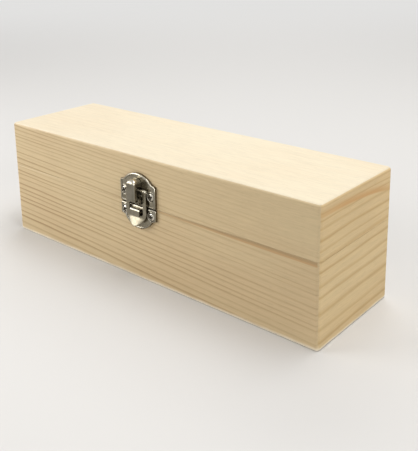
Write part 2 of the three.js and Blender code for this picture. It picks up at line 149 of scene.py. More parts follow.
class Wiring:
    """Adds nodes to one node tree and joins them."""

    def __init__(self, tree: bpy.types.NodeTree) -> None:
        """Keeps the tree that the nodes go into."""
        self.tree = tree

    def feed(self, socket: bpy.types.NodeSocket, value: object) -> None:
        """Links a socket to a signal or another socket, or sets a plain value on it."""
        source = value.socket if isinstance(value, Signal) else value
        if isinstance(source, bpy.types.NodeSocket):
            self.tree.links.new(source, socket)
        else:
            socket.default_value = source

    def node(self, kind: str, inputs: Optional[dict] = None, **settings: object) -> bpy.types.Node:
        """Adds one node.

        Args:
            kind: the node's type name.
            inputs: what goes into its sockets, by name or number.
            settings: properties set on the new node.

        Returns:
            The new node.
        """
        made = self.tree.nodes.new(kind)
        for name, value in settings.items():
            setattr(made, name, value)
        for label, value in (inputs or {}).items():
            self.feed(made.inputs[label], value)
        return made

    def value(self, kind: str, inputs: dict, output: object = 0, **settings: object) -> Signal:
        """Adds one node, as node() does, and gives the output of a name or number as a signal."""
        return Signal(self, self.node(kind, inputs, **settings).outputs[output])

    def group(self, tree: bpy.types.NodeTree, inputs: dict) -> dict[str, Signal]:
        """Places a node group with its own values and gives its outputs by name."""
        made = self.node("ShaderNodeGroup", inputs, node_tree=tree)
        return {socket.name: Signal(self, socket) for socket in made.outputs}

    def math(self, operation: str, *values: object) -> Signal:
        """Adds a Math node fed with one to three values."""
        return self.value("ShaderNodeMath", dict(enumerate(values)), operation=operation)

    def between(self, value: object, low: object, high: object, first: float = 0.0,
                last: float = 1.0) -> Signal:
        """Maps a value smoothly from one range to another.

        Args:
            value: the value to map.
            low: where the range starts.
            high: where the range ends.
            first: the result at the start.
            last: the result at the end.

        Returns:
            The mapped value.
        """
        inputs = {
            "Value": value, "From Min": low, "From Max": high, "To Min": first, "To Max": last}
        return self.value("ShaderNodeMapRange", inputs, "Result", interpolation_type="SMOOTHSTEP")

    def scaled(self, vector: object, factors: Place) -> Signal:
        """Multiplies a vector by one factor for each axis."""
        return self.value("ShaderNodeVectorMath", {0: vector, 1: factors}, operation="MULTIPLY")

    def noise(self, vector: object, noise: Noise) -> Signal:
        """Adds noise in space.

        Args:
            vector: the place in space.
            noise: its settings.

        Returns:
            The noise, around 0.5.
        """
        scale = noise.scale
        if isinstance(scale, tuple):
            vector, scale = self.scaled(vector, scale), 1.0
        inputs = {
            "Vector": vector, "Scale": scale, "Detail": noise.detail, "Roughness": noise.roughness}
        return self.value("ShaderNodeTexNoise", inputs, "Fac")

    def noise_along(self, value: object, scale: float, detail: float) -> Signal:
        """Adds noise along one value."""
        inputs = {"W": value, "Scale": scale, "Detail": detail}
        return self.value("ShaderNodeTexNoise", inputs, "Fac", noise_dimensions="1D")

    def split(self, vector: object) -> list[Signal]:
        """Takes a vector apart into x, y and z."""
        parts = self.node("ShaderNodeSeparateXYZ", {0: vector})
        return [Signal(self, socket) for socket in parts.outputs]

    def mixed(self, factor: object, first: object, second: object, blend: str = "MIX") -> Signal:
        """Mixes two colours, each a signal or a linear colour.

        Args:
            factor: how much of the second colour shows.
            first: the colour at 0.
            second: the colour at 1.
            blend: the blend type.

        Returns:
            The mixed colour.
        """
        colors = [rgba(color) if isinstance(color, tuple) else color for color in (first, second)]
        inputs = {0: factor, 6: colors[0], 7: colors[1]}
        return self.value("ShaderNodeMix", inputs, 2, data_type="RGBA", blend_type=blend)

    def bumped(self, height: Signal, strength: float, distance: float) -> Signal:
        """Turns a height into a bumped normal."""
        inputs = {"Strength": strength, "Distance": distance, "Height": height}
        return self.value("ShaderNodeBump", inputs)


def rgba(color: Color) -> tuple[float, float, float, float]:
    """Adds full alpha to a linear colour."""
    return (*color, 1.0)


def new_material(name: str) -> tuple[bpy.types.Material, Wiring, dict]:
    """Starts a material.

    Args:
        name: the material's name.

    Returns:
        The material, its wiring and its shader's input sockets by name.
    """
    made = bpy.data.materials.new(name)
    made.use_nodes = True
    return made, Wiring(made.node_tree), made.node_tree.nodes["Principled BSDF"].inputs


def open_group(name: str, inputs: dict[str, Optional[float]]) -> tuple[Wiring, dict[str, Signal]]:
    """Starts a shader node group with named sockets.

    Args:
        name: the group's name.
        inputs: each input's default by name, or None for a vector.

    Returns:
        The group's wiring and its inputs by name.
    """
    tree = bpy.data.node_groups.new(name, "ShaderNodeTree")
    for label, default in inputs.items():
        kind = "NodeSocketVector" if default is None else "NodeSocketFloat"
        socket = tree.interface.new_socket(label, in_out="INPUT", socket_type=kind)
        if default is not None:
            socket.default_value = default
    w = Wiring(tree)
    return w, {socket.name: Signal(w, socket) for socket in w.node("NodeGroupInput").outputs}


def close_group(w: Wiring, results: dict[str, Signal]) -> bpy.types.NodeTree:
    """Gives a group its named outputs.

    Args:
        w: the group's wiring.
        results: what goes out, by name.

    Returns:
        The group's tree.
    """
    for label in results:
        w.tree.interface.new_socket(label, in_out="OUTPUT", socket_type="NodeSocketFloat")
    w.node("NodeGroupOutput", results)
    return w.tree


@dataclass(frozen=True)
class PineGrain:
    """The growth rings, fibre and clouding of pine, seen wherever a surface cuts them.

    The rings are cylinders about a pith that runs along the board's X. Noise scales are per metre.
    """

    sweep: Noise = Noise((7, 30, 30), 2.0, 0.45)
    ripple: Noise = Noise((38, 160, 160))
    ripple_share: float = 0.22
    cloud: Noise = Noise((9, 26, 26), 3.0)
    fibre: Noise = Noise((85, 1500, 1500), 4.0, 0.68)
    fleck: Noise = Noise((260, 2300, 2300), 1.0)
    fleck_shown: Spot = (0.58, 0.74)
    uneven_pace: float = 0.37
    unevenness: float = 1.5
    late_full: float = 0.9
    ring_pace: float = 0.73
    ring_strength: Ramp = (0.28, 0.62, 0.45, 1.0)
    fibre_height: float = 0.6
    late_height: float = 0.4

    def build(self) -> bpy.types.NodeTree:
        """Builds the group, with Rings, Fibre, Fleck, Cloud and Height outputs."""
        w, given = open_group("pine_grain", {
            "Vector": None, "Ring Width": 2 * MM, "Tightening": 0.0, "Pith Depth": 0.0,
            "Pith Height": 0.0, "Base Radius": 0.0, "Slope": 0.0, "Waviness": 1 * MM,
            "Late Start": 0.5, "Late Stop": 0.93})
        vector = given["Vector"]
        along, deep, up = w.split(vector)
        sway = (w.noise(vector, self.sweep) - 0.5
                + (w.noise(vector, self.ripple) - 0.5) * self.ripple_share)
        rise = up - given["Pith Height"] + given["Slope"] * along
        depth = deep - given["Pith Depth"]
        radius = (rise * rise + depth * depth).step("SQRT")
        reach = radius + sway * (given["Waviness"] * 2.0) - given["Base Radius"]
        count = reach / given["Ring Width"] + reach * reach * given["Tightening"]
        count = count + w.noise_along(count * self.uneven_pace, 1.0, 1.0) * self.unevenness
        phase = count.step("FRACT")
        late = (w.between(phase, given["Late Start"], self.late_full)
                * w.between(phase, given["Late Stop"], 1.0, 1.0, 0.0))
        strength = w.noise_along(count.step("FLOOR"), self.ring_pace, 0.0)
        late = late * w.between(strength, *self.ring_strength)
        fibre = w.noise(vector, self.fibre)
        return close_group(w, {
            "Rings": late,
            "Fibre": fibre,
            "Fleck": w.between(w.noise(vector, self.fleck), *self.fleck_shown),
            "Cloud": w.noise(vector, self.cloud),
            "Height": fibre * self.fibre_height - late * self.late_height,
        })


@dataclass(frozen=True)
class MetalFilmAndPaintedLight:
    """The film on handled plating, smudges and fine rubbing, with painted highlight on its edges
    and painted shade in corners near the wood.
    """

    rub_stretch: Place = (1.0, 1.0, 0.18)
    # The next two fields place painted shade near the wood face; the three after them place a
    # painted highlight on edges facing sideways and up.
    shade_fade: Ramp = (0.7, 1.15, 1.0, 0.0)
    shade_patches: Ramp = (0.25, 0.65, 0.5, 1.0)
    highlight_turn: Ramp = (0.72, 0.975, 1.0, 0.0)
    highlight_upward: Ramp = (0.0, 0.6, 0.15, 1.0)
    highlight_patches: Ramp = (0.25, 0.6, 0.7, 1.0)
    smudge_detail: float = 3.0
    smudge_shown: Spot = (0.3, 0.7)
    smudge_height: float = 0.8
    rub_height: float = 0.2

    def build(self) -> bpy.types.NodeTree:
        """Builds the group, with Smudge, Rub, Painted Shade, Painted Highlight and Height outputs.
        """
        w, given = open_group("metal_film_and_painted_light", {
            "Vector": None, "Smudge Scale": 260.0, "Rub Scale": 1400.0, "Wood Face": 0.03,
            "Shade Reach": 1.1 * MM, "Facing": None})
        _, outward, upward = w.split(given["Facing"])
        # Painted shade: darkens whatever stands close to the wood face, in patches.
        stand = abs(w.split(given["Vector"])[1]) - given["Wood Face"]
        painted_shade = w.between(stand / given["Shade Reach"], *self.shade_fade)
        smudge = w.noise(given["Vector"], Noise(given["Smudge Scale"], self.smudge_detail))
        rub = w.noise(w.scaled(given["Vector"], self.rub_stretch), Noise(given["Rub Scale"]))
        # Painted highlight: edges that face sideways, more where they also face up.
        edge = w.between(abs(outward), *self.highlight_turn) * w.between(upward, *self.highlight_upward)
        return close_group(w, {
            "Smudge": w.between(smudge, *self.smudge_shown),
            "Rub": rub,
            "Painted Shade": painted_shade * w.between(smudge, *self.shade_patches),
            "Painted Highlight": edge * w.between(smudge, *self.highlight_patches),
            "Height": smudge * self.smudge_height + rub * self.rub_height,
        })


@dataclass(frozen=True)
class EdgeWearAndHighlight:
    """The wear along the closed box's outer edges, uneven along their length, with painted
    highlight added on the low edges and the left and taken off the right uprights, and a painted
    highlight along the foot.
    """

    plan: BoxPlan
    patches: Noise = Noise(120.0, 3.0, 0.6)
    full_share: float = 0.3
    # low and left add painted highlight on the bottom edges and towards the left; the upright
    # fields take some off the right uprights; the foot fields place a painted highlight along the
    # bottom.
    low: Spot = (1.5 * MM, 5 * MM)
    left: float = 0.6
    upright_reach: float = 3 * MM
    upright_less: float = 0.7
    foot_waver: float = 1 * MM
    foot_rise: Ramp = (0.6 * MM, 2.3 * MM, 1.0, 0.0)
    foot_depth: Ramp = (1 * MM, 3 * MM, 1.0, 0.0)

    def build(self) -> bpy.types.NodeTree:
        """Builds the group, with Wear And Highlight and Foot Highlight outputs."""
        w, given = open_group("edge_wear_and_highlight", {
            "Vector": None, "Width": 1.5 * MM, "Amount": 0.26, "Low Highlight": 0.6,
            "Left Highlight": 0.4})
        width, half_length = given["Width"], self.plan.half_length
        x, y, z = w.split(given["Vector"])
        side = half_length - abs(x)
        face = self.plan.half_depth - abs(y)
        tier = z.step("MINIMUM", self.plan.height - z)
        inward, outer = side.step("MINIMUM", face), side.step("MAXIMUM", face)
        uneven = w.noise(given["Vector"], self.patches) - 0.5
        edge = inward.step("MAXIMUM", outer.step("MINIMUM", tier)) + uneven * width
        wear_and_highlight = w.between(edge, width * self.full_share, width, 1.0, 0.0)
        # Painted highlight: more of the pale edge colour low down and towards the left, less on the
        # right uprights.
        low = w.between(z, *self.low, given["Low Highlight"], 0.0)
        hand = w.between(x, -self.left * half_length, self.left * half_length,
                         given["Left Highlight"], 0.0)
        upright = (w.between(tier - outer, 0.0, self.upright_reach)
                   * w.between(x, 0.0, half_length, 0.0, self.upright_less))
        amount = (given["Amount"] + low.step("MAXIMUM", hand)) * (1.0 - upright)
        # Painted highlight along the foot of the outer faces.
        foot = w.between(z + uneven * self.foot_waver, *self.foot_rise)
        return close_group(w, {
            "Wear And Highlight": (wear_and_highlight * amount).clamped(),
            "Foot Highlight": foot * w.between(inward, *self.foot_depth),
        })


# Finishes


class Grain(Enum):
    """Which way a board's grain runs in the row frame."""

    LENGTHWAYS = "x"
    ACROSS = "y"


@dataclass(frozen=True)
class Streak:
    """A resinous streak that bows across an end board, in metres and linear colour."""

    color: Color
    height: float
    drop: float
    bow: float
    width: float
    fade_below: float = 0.5
    fade_above: float = 1.6
    front_end: Ramp = (0.0, 0.35, 0.55, 1.0)
    back_end: Ramp = (0.75, 1.0, 1.0, 0.6)

    def over(self, w: Wiring, color: Signal, y: Signal, z: Signal, plan: BoxPlan) -> Signal:
        """Lays the streak over a colour.

        Args:
            w: the material's wiring.
            color: the colour so far.
            y: the surface's place from front to back.
            z: the surface's height.
            plan: the box's places.

        Returns:
            The new colour.
        """
        share = (y / (2 * plan.half_depth) + 0.5).clamped()
        away = z - (self.height - share ** self.bow * self.drop)
        body = (w.between(away, -self.fade_below * self.width, 0.0)
                * w.between(away, 0.0, self.fade_above * self.width, 1.0, 0.0))
        ends = w.between(share, *self.front_end) * w.between(share, *self.back_end)
        return w.mixed(body * ends, color, self.color)


@dataclass(frozen=True)
class SeamShade:
    """A painted shadow along the top of the base's front, under the lid's edge: dark, then tan, and
    wider to the right, with a painted highlight below it on the left.
    """

    # color is the tan of the painted shadow, sawn its dark top; light is the colour of the painted
    # highlight below the seam.
    color: Color
    gap_shadow: Color
    top: float
    width_near: float
    width_far: float
    strength: float
    light: Color
    stop: float = 0.992
    stop_fade: float = 0.004
    widening: Spot = (0.35, 1.0)
    foot: Ramp = (0.75, 1.05, 1.0, 0.0)
    two_tones: Spot = (0.35, 0.6)
    darkening: Ramp = (0.3, 0.75, 0.15, 1.0)
    highlight_below: Ramp = (0.8, 2.2, 0.55, 0.0)
    highlight_left: Ramp = (0.1, 0.5, 1.0, 0.0)

    def over(self, w: Wiring, color: Signal, x: Signal, z: Signal, plan: BoxPlan) -> Signal:
        """Paints the shadow line, and the highlight below it, over a colour.

        Args:
            w: the material's wiring.
            color: the colour so far.
            x: the surface's place along the box.
            z: the surface's height.
            plan: the box's places.

        Returns:
            The new colour.
        """
        share = (x / (2 * plan.half_length) + 0.5).clamped()
        away = (self.top - z) / w.between(share, *self.widening, self.width_near, self.width_far)
        below = away.step("GREATER_THAN", 0.0)
        mask = w.between(away, *self.foot) * w.between(share, *self.darkening) * below
        mask = mask * w.between(share, self.stop, self.stop + self.stop_fade, 1.0, 0.0)
        # Painted shadow: dark at the top, tan lower down, stronger to the right.
        tone = w.mixed(w.between(away, *self.two_tones), self.gap_shadow, self.color)
        color = w.mixed(mask * self.strength, color, tone)
        # Painted highlight just below the seam, on the left.
        pale = w.between(away, *self.highlight_below) * w.between(share, *self.highlight_left)
        return w.mixed(pale * below, color, self.light)


@dataclass(frozen=True)
class PineFinish:
    """Bare sanded pine: colours in linear light, ring sizes in metres."""

    name: str
    pale: Color
    late: Color
    warm: Color
    grain: Grain
    ring_width: float
    pith_depth: float
    pith_height: float
    contrast: float
    tightening: float = 0.0
    contrast_along: float = 0.0
    contrast_up: float = 0.0
    slope: float = 0.0
    waviness: float = 1.2 * MM
    late_start: float = 0.5
    late_stop: float = 0.93
    roughness: float = 0.6
    # The worn colour serves edge wear and painted highlight; the foot colour is a painted highlight
    # along the bottom edges.
    wear_and_highlight: Color = (0.76, 0.62, 0.41)
    foot: Color = (0.93, 0.85, 0.70)
    foot_highlight_shown: float = 0.85
    # tan is painted shade: the colour darkens across the board and up the box; below zero it paints
    # light.
    tan: float = 0.0
    cloud_contrast: Ramp = (0.3, 0.7, -0.12, 0.12)
    cloud_color: Spot = (0.32, 0.68)
    fibre_shade: Ramp = (0.3, 0.7, 0.935, 1.04)
    fleck_shade: float = 0.07
    fibre_roughness: float = 0.12
    specular: float = 0.3
    bump: Spot = (0.22, 0.12 * MM)
    streak: Optional[Streak] = None
    seam_shade: Optional[SeamShade] = None

    def material(self, grain_group: bpy.types.NodeTree, wear_highlight_group: bpy.types.NodeTree,
                 plan: BoxPlan) -> bpy.types.Material:
        """Makes the material.

        Args:
            grain_group: the pine grain node group.
            wear_highlight_group: the node group of edge wear and painted highlight.
            plan: the box's places, for what changes over the box.

        Returns:
            The new material.
        """
        made, w, shader = new_material(self.name)
        coords = w.value("ShaderNodeTexCoord", {}, "Object")
        x, y, z = w.split(coords)
        lengthways = self.grain is Grain.LENGTHWAYS
        order = (x, y, z) if lengthways else (y, x, z)
        turned = w.value("ShaderNodeCombineXYZ", dict(enumerate(order)))
        rings = w.group(grain_group, {
            "Vector": turned, "Ring Width": self.ring_width, "Tightening": self.tightening,
            "Pith Depth": self.pith_depth, "Pith Height": self.pith_height,
            "Base Radius": abs(self.pith_height), "Slope": self.slope, "Waviness": self.waviness,
            "Late Start": self.late_start, "Late Stop": self.late_stop})
        along = x / plan.half_length if lengthways else y / plan.half_depth
        up = z / plan.height
        fade = (along * self.contrast_along + up * self.contrast_up
                + w.between(rings["Cloud"], *self.cloud_contrast))
        amount = (rings["Rings"] * (fade + self.contrast)).clamped()
        color = w.mixed(w.between(rings["Cloud"], *self.cloud_color), self.pale, self.warm)
        color = w.mixed(amount, color, self.late)
        shade = w.between(rings["Fibre"], *self.fibre_shade) - rings["Fleck"] * self.fleck_shade
        # Painted shade across the board and up the box, or painted light where tan is below zero.
        shade = shade - w.between(along, 0.0, 1.0, 0.0, self.tan) * up
        gray = w.value("ShaderNodeCombineColor", {0: shade, 1: shade, 2: shade})
        color = w.mixed(1.0, color, gray, "MULTIPLY")
        if self.streak:
            color = self.streak.over(w, color, y, z, plan)
        if self.seam_shade:
            color = self.seam_shade.over(w, color, x, z, plan)
        wear = w.group(wear_highlight_group, {"Vector": coords})
        # Edge wear with painted highlight, then the painted foot highlight.
        color = w.mixed(wear["Wear And Highlight"], color, self.wear_and_highlight)
        w.feed(shader["Base Color"], w.mixed(wear["Foot Highlight"] * self.foot_highlight_shown, color, self.foot))
        w.feed(shader["Roughness"],
               rings["Fibre"] * self.fibre_roughness + (self.roughness - self.fibre_roughness / 2))
        w.feed(shader["Normal"], w.bumped(rings["Height"], *self.bump))
        w.feed(shader["Specular IOR Level"], self.specular)
        return made


@dataclass(frozen=True)
class PlatedFinish:
    """Bright plating over pressed steel, in linear colour."""

    name: str
    color: Color
    dull: Color
    roughness: float
    smudge: float = 0.1
    rub: float = 0.03
    # A painted highlight colour and its amount, then a painted shade colour, how much of it shows
    # and how far from the wood it reaches.
    highlight_color: Color = (0.74, 0.70, 0.60)
    highlight_amount: float = 0.8
    painted_shade: Color = (0.075, 0.06, 0.042)
    painted_shade_shown: float = 0.85
    shade_reach: float = 1.1 * MM
    bump: Spot = (0.06, 0.02 * MM)

    def material(self, film_and_light_group: bpy.types.NodeTree) -> bpy.types.Material:
        """Makes the material, with the node group of metal film, painted shade and painted
        highlight.
        """
        made, w, shader = new_material(self.name)
        coords = w.node("ShaderNodeTexCoord").outputs
        film = w.group(film_and_light_group, {
            "Vector": coords["Object"], "Facing": coords["Normal"], "Shade Reach": self.shade_reach})
        color = w.mixed(film["Smudge"], self.color, self.dull)
        # Painted highlight on the edges.
        color = w.mixed(film["Painted Highlight"] * self.highlight_amount, color, self.highlight_color)
        # Painted shade near the wood.
        w.feed(shader["Base Color"], w.mixed(film["Painted Shade"] * self.painted_shade_shown, color, self.painted_shade))
        w.feed(shader["Metallic"], 1.0)
        w.feed(shader["Roughness"],
               film["Smudge"] * self.smudge + self.roughness + film["Rub"] * self.rub)
        w.feed(shader["Normal"], w.bumped(film["Height"], *self.bump))
        return made


# Modifiers that soften the carried-over CAD nodes


def open_geometry(name: str) -> tuple[Wiring, bpy.types.NodeSocket, bpy.types.NodeSocket]:
    """Starts a geometry node group.

    Args:
        name: the group's name.

    Returns:
        Its wiring, the socket that the geometry comes from and the one that it goes to.
    """
    tree = bpy.data.node_groups.new(name, "GeometryNodeTree")
    for way in ("INPUT", "OUTPUT"):
        tree.interface.new_socket("Geometry", in_out=way, socket_type="NodeSocketGeometry")
    w = Wiring(tree)
    return w, w.node("NodeGroupInput").outputs[0], w.node("NodeGroupOutput").inputs[0]


def smooth_group(angle: float) -> bpy.types.NodeTree:
    """Builds a group that shades smooth and keeps edges sharper than an angle in radians."""
    w, source, sink = open_geometry("smooth_below_angle")
    turn = w.value("GeometryNodeInputMeshEdgeAngle", {}, "Unsigned Angle")
    sharp = w.value("FunctionNodeCompare", {0: turn, 1: angle}, data_type="FLOAT",
                    operation="GREATER_THAN")
    faces = w.value("GeometryNodeSetShadeSmooth", {"Geometry": source}, domain="FACE")
    edges = w.value("GeometryNodeSetShadeSmooth",
                    {"Geometry": faces, "Selection": sharp, "Shade Smooth": False}, domain="EDGE")
    w.feed(sink, edges)
    return w.tree


def seam_arris_group(plan: BoxPlan, reach: float, draw: float) -> bpy.types.NodeTree:
    """Builds a group that draws the seam close and marks its level edges, to be bevelled.

    Args:
        plan: the box's places.
        reach: how far from the seam an edge still counts, in metres.
        draw: how far each side of the seam moves towards its middle, in metres.

    Returns:
        The geometry node group.
    """
    w, source, sink = open_geometry("seam_arris")
    middle = (plan.seam + plan.lid_foot) / 2
    ends = w.node("GeometryNodeInputMeshEdgeVertices").outputs
    one, two = (abs(w.split(ends[label])[2] - middle).step("LESS_THAN", reach)
                for label in ("Position 1", "Position 2"))
    rise = middle - w.split(w.value("GeometryNodeInputPosition", {}))[2]
    close = rise.step("SIGN") * abs(rise).step("LESS_THAN", reach)
    shift = w.value("ShaderNodeCombineXYZ", {2: close * draw})
    drawn = w.value("GeometryNodeSetPosition", {"Geometry": source, "Offset": shift})
    marks = {"Geometry": drawn, "Name": "bevel_weight_edge", "Value": one * two}
    w.feed(sink, w.value("GeometryNodeStoreNamedAttribute", marks, data_type="FLOAT",
                         domain="EDGE"))
    return w.tree


@dataclass
class Softener:
    """Adds the modifiers that round the edges of a mesh without changing the mesh itself."""

    plan: BoxPlan
    smooth_angle: float = 32.0
    built_angle: float = 40.0
    fitting_angle: float = 35.0
    flat_angle: float = 0.6
    seam_reach: float = 0.4 * MM
    seam_draw: float = 0.08 * MM
    arris_segments: int = 3
    smooth: bpy.types.NodeTree = field(init=False)
    arris: bpy.types.NodeTree = field(init=False)

    def __post_init__(self) -> None:
        """Builds the two geometry groups."""
        self.smooth = smooth_group(math.radians(self.smooth_angle))
        self.arris = seam_arris_group(self.plan, self.seam_reach, self.seam_draw)

    @staticmethod
    def grouped(piece: bpy.types.Object, tree: bpy.types.NodeTree) -> None:
        """Adds a geometry nodes modifier."""
        piece.modifiers.new(tree.name, "NODES").node_group = tree

    def finish(self, piece: bpy.types.Object) -> None:
        """Shades a piece smooth, with its flat faces kept flat."""
        self.grouped(piece, self.smooth)
        piece.modifiers.new("weighted_normals", "WEIGHTED_NORMAL").keep_sharp = True

    def board(self, piece: bpy.types.Object, width: float) -> None:
        """Rounds a board's edges along the seam.

        Args:
            piece: the board.
            width: how wide the rounding is, in metres.
        """
        self.grouped(piece, self.arris)
        bevel = piece.modifiers.new("arris", "BEVEL")
        bevel.limit_method = "WEIGHT"
        bevel.width = width
        bevel.segments = self.arris_segments
        self.finish(piece)

    def rounded(self, piece: bpy.types.Object, width: float, angle: float,
                segments: int = 3) -> None:
        """Rounds the sharp edges of a piece.

        Args:
            piece: the piece.
            width: how wide the rounding is, in metres.
            angle: the sharpest angle that stays as it is, in degrees.
            segments: the faces across the rounding.
        """
        bevel = piece.modifiers.new("rounded_edges", "BEVEL")
        bevel.limit_method = "ANGLE"
        bevel.angle_limit = math.radians(angle)
        bevel.width = width
        bevel.segments = segments
        self.finish(piece)

    def fitting(self, piece: bpy.types.Object, width: float, segments: int = 3) -> None:
        """Merges the flat faces of a metal fitting's node and rounds its sharp edges.

        Args:
            piece: the fitting.
            width: how wide the rounding is, in metres.
            segments: the faces across it.
        """
        flat = piece.modifiers.new("merge_flat_faces", "DECIMATE")
        flat.decimate_type = "DISSOLVE"
        flat.angle_limit = math.radians(self.flat_angle)
        self.rounded(piece, width, self.fitting_angle, segments)


def dress(piece: bpy.types.Object, *materials: bpy.types.Material) -> None:
    """Gives a piece its materials, by slot."""
    piece.data.materials.clear()
    for material in materials:
        piece.data.materials.append(material)


# Sub-assemblies


@dataclass
class WoodenBox:
    """The boards and panels of the base and the lid."""

    plan: BoxPlan
    softener: Softener
    grain_group: bpy.types.NodeTree
    wear_highlight_group: bpy.types.NodeTree
    arris: float = 0.1 * MM
    level: float = 0.65
    pale: Color = (0.63, 0.496, 0.295)
    warm: Color = (0.59, 0.448, 0.262)
    late: Color = (0.37, 0.243, 0.12)
    materials: dict[str, bpy.types.Material] = field(default_factory=dict)

    def finishes(self) -> dict[str, PineFinish]:
        """Names each board's finish.

        Returns:
            The finishes by board.
        """
        common = (self.pale, self.late, self.warm)
        # Painted shadow under the lid along the base's front, with a painted highlight below it on
        # the left.
        seam_shade = SeamShade(
            color=(0.47, 0.285, 0.13), gap_shadow=(0.36, 0.235, 0.11), top=self.plan.seam,
            width_near=0.4 * MM, width_far=2.2 * MM, strength=0.78, light=(0.80, 0.67, 0.44))
        streak = Streak(
            color=(0.56, 0.335, 0.14), height=self.plan.height - 5.3 * MM, drop=5.2 * MM, bow=2.6,
            width=2.1 * MM)
        return {
            # On the front, tan paints shade towards the right and up the lid.
            "front_board": PineFinish(
                "front_pine", *common, Grain.LENGTHWAYS, ring_width=3.3 * MM, tightening=1640,
                pith_depth=18 * MM, pith_height=-70 * MM, contrast=0.69, contrast_along=-0.35,
                contrast_up=-0.3, slope=0.045, waviness=1.1 * MM, tan=0.1, seam_shade=seam_shade),
            "back_board": PineFinish(
                "back_pine", *common, Grain.LENGTHWAYS, ring_width=2.7 * MM, tightening=500,
                pith_depth=-12 * MM, pith_height=110 * MM, contrast=0.6, slope=-0.02,
                waviness=1.6 * MM),
            # On the right end, a negative tan paints light towards the back and the top.
            "right_end": PineFinish(
                "right_end_pine", pale=(0.645, 0.498, 0.277), late=(0.45, 0.278, 0.11),
                warm=(0.61, 0.452, 0.24), grain=Grain.ACROSS, ring_width=8.5 * MM,
                tightening=-1625, pith_depth=60 * MM, pith_height=190 * MM, contrast=0.86,
                contrast_up=-0.12, waviness=3.0 * MM, late_stop=0.8, tan=-0.1, streak=streak),
            "left_end": PineFinish(
                "left_end_pine", *common, Grain.ACROSS, ring_width=4.6 * MM, tightening=600,
                pith_depth=-50 * MM, pith_height=-130 * MM, contrast=0.7, waviness=1.5 * MM),
            "top_panel": PineFinish(
                "top_pine", pale=(0.722, 0.641, 0.482), late=(0.635, 0.48, 0.315),
                warm=(0.707, 0.609, 0.445), grain=Grain.LENGTHWAYS, ring_width=3.6 * MM,
                pith_depth=-95 * MM, pith_height=10 * MM, contrast=0.12, slope=0.03,
                waviness=2.4 * MM, roughness=0.52, wear_and_highlight=(0.82, 0.74, 0.60)),
            "bottom_panel": PineFinish(
                "bottom_pine", *common, Grain.LENGTHWAYS, ring_width=3.0 * MM,
                pith_depth=120 * MM, pith_height=-20 * MM, contrast=0.5, slope=-0.02,
                waviness=2.0 * MM),
        }

    def dress_panel(self, piece: bpy.types.Object, face: str) -> None:
        """Gives a panel its own grain on the flat and its neighbours' grain on the edges.

        Args:
            piece: the panel.
            face: the finish of its flat faces.
        """
        order = (face, "front_board", "right_end", "back_board", "left_end")
        dress(piece, *(self.materials[board] for board in order))
        for polygon in piece.data.polygons:
            x, y, z = polygon.normal
            if abs(z) > self.level:
                side = 0
            elif abs(y) >= abs(x):
                side = 1 if y < 0 else 3
            else:
                side = 2 if x > 0 else 4
            polygon.material_index = side

    def build(self) -> None:
        """Softens and dresses every board and panel."""
        for board, finish in self.finishes().items():
            self.materials[board] = finish.material(self.grain_group, self.wear_highlight_group, self.plan)
        for name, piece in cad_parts.items():
            board = name.partition("_")[2]
            if board not in self.materials:
                continue
            self.softener.board(piece, self.arris)
            if board.endswith("panel"):
                self.dress_panel(piece, board)
            else:
                dress(piece, self.materials[board])
            LOG.info("%s dressed as pine", name)


@dataclass(frozen=True)
class CatchFrame:
    """The catch's own frame: u right, v up and w out of the front, in metres from its middle."""

    middle: float
    face: float

    @classmethod
    def from_frame(cls) -> "CatchFrame":
        """Finds the frame from the lever's pivot and the front board."""
        low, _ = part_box("base_front_board")
        return cls(box_centre("catch_lever_pin").z - LEVER_PIVOT_RISE, -low.y)

    def at(self, u: float, v: float, w: float) -> Place:
        """Turns a place in the catch's frame into the row frame."""
        return (u, -self.face - w, self.middle + v)


@dataclass
class Surface:
    """Collects points and faces and makes one mesh piece of them."""

    points: list[Place] = field(default_factory=list)
    faces: list[tuple[int, ...]] = field(default_factory=list)
    slots: list[int] = field(default_factory=list)
    slot: int = 0
    merge: float = 1e-7

    def ring(self, places: Sequence[Place]) -> list[int]:
        """Adds a row of points and returns their numbers."""
        first = len(self.points)
        self.points.extend(places)
        return list(range(first, len(self.points)))

    def add(self, *corners: int) -> None:
        """Adds one face in the present slot."""
        self.faces.append(corners)
        self.slots.append(self.slot)

    def join(self, one: Sequence[int], two: Sequence[int]) -> None:
        """Joins two closed rows of points with four-sided faces."""
        for i in range(len(one)):
            j = (i + 1) % len(one)
            self.add(one[i], one[j], two[j], two[i])

    def loft(self, rings: Sequence[Sequence[Place]]) -> None:
        """Joins rows of places, each of the same number, into one closed skin."""
        rows = [self.ring(places) for places in rings]
        for one, two in zip(rows, rows[1:]):
            self.join(one, two)
        self.add(*rows[0])
        self.add(*rows[-1])

    def piece(self, name: str, *materials: bpy.types.Material) -> bpy.types.Object:
        """Makes the object, smooth shaded and with its faces turned outwards.

        Args:
            name: the piece's name.
            materials: its materials, by slot.

        Returns:
            The new object.
        """
        mesh = bpy.data.meshes.new(name)
        mesh.from_pydata(self.points, [], self.faces)
        mesh.polygons.foreach_set("material_index", self.slots)
        work = bmesh.new()
        work.from_mesh(mesh)
        bmesh.ops.remove_doubles(work, verts=work.verts, dist=self.merge)
        bmesh.ops.recalc_face_normals(work, faces=work.faces)
        work.to_mesh(mesh)
        work.free()
        mesh.shade_smooth()
        for material in materials:
            mesh.materials.append(material)
        made = bpy.data.objects.new(name, mesh)
        bpy.context.scene.collection.objects.link(made)
        return made


class Carve(Enum):
    """What a tool solid does to the solid it meets."""

    AWAY = "DIFFERENCE"
    KEEP_COMMON = "INTERSECT"
    JOIN = "UNION"


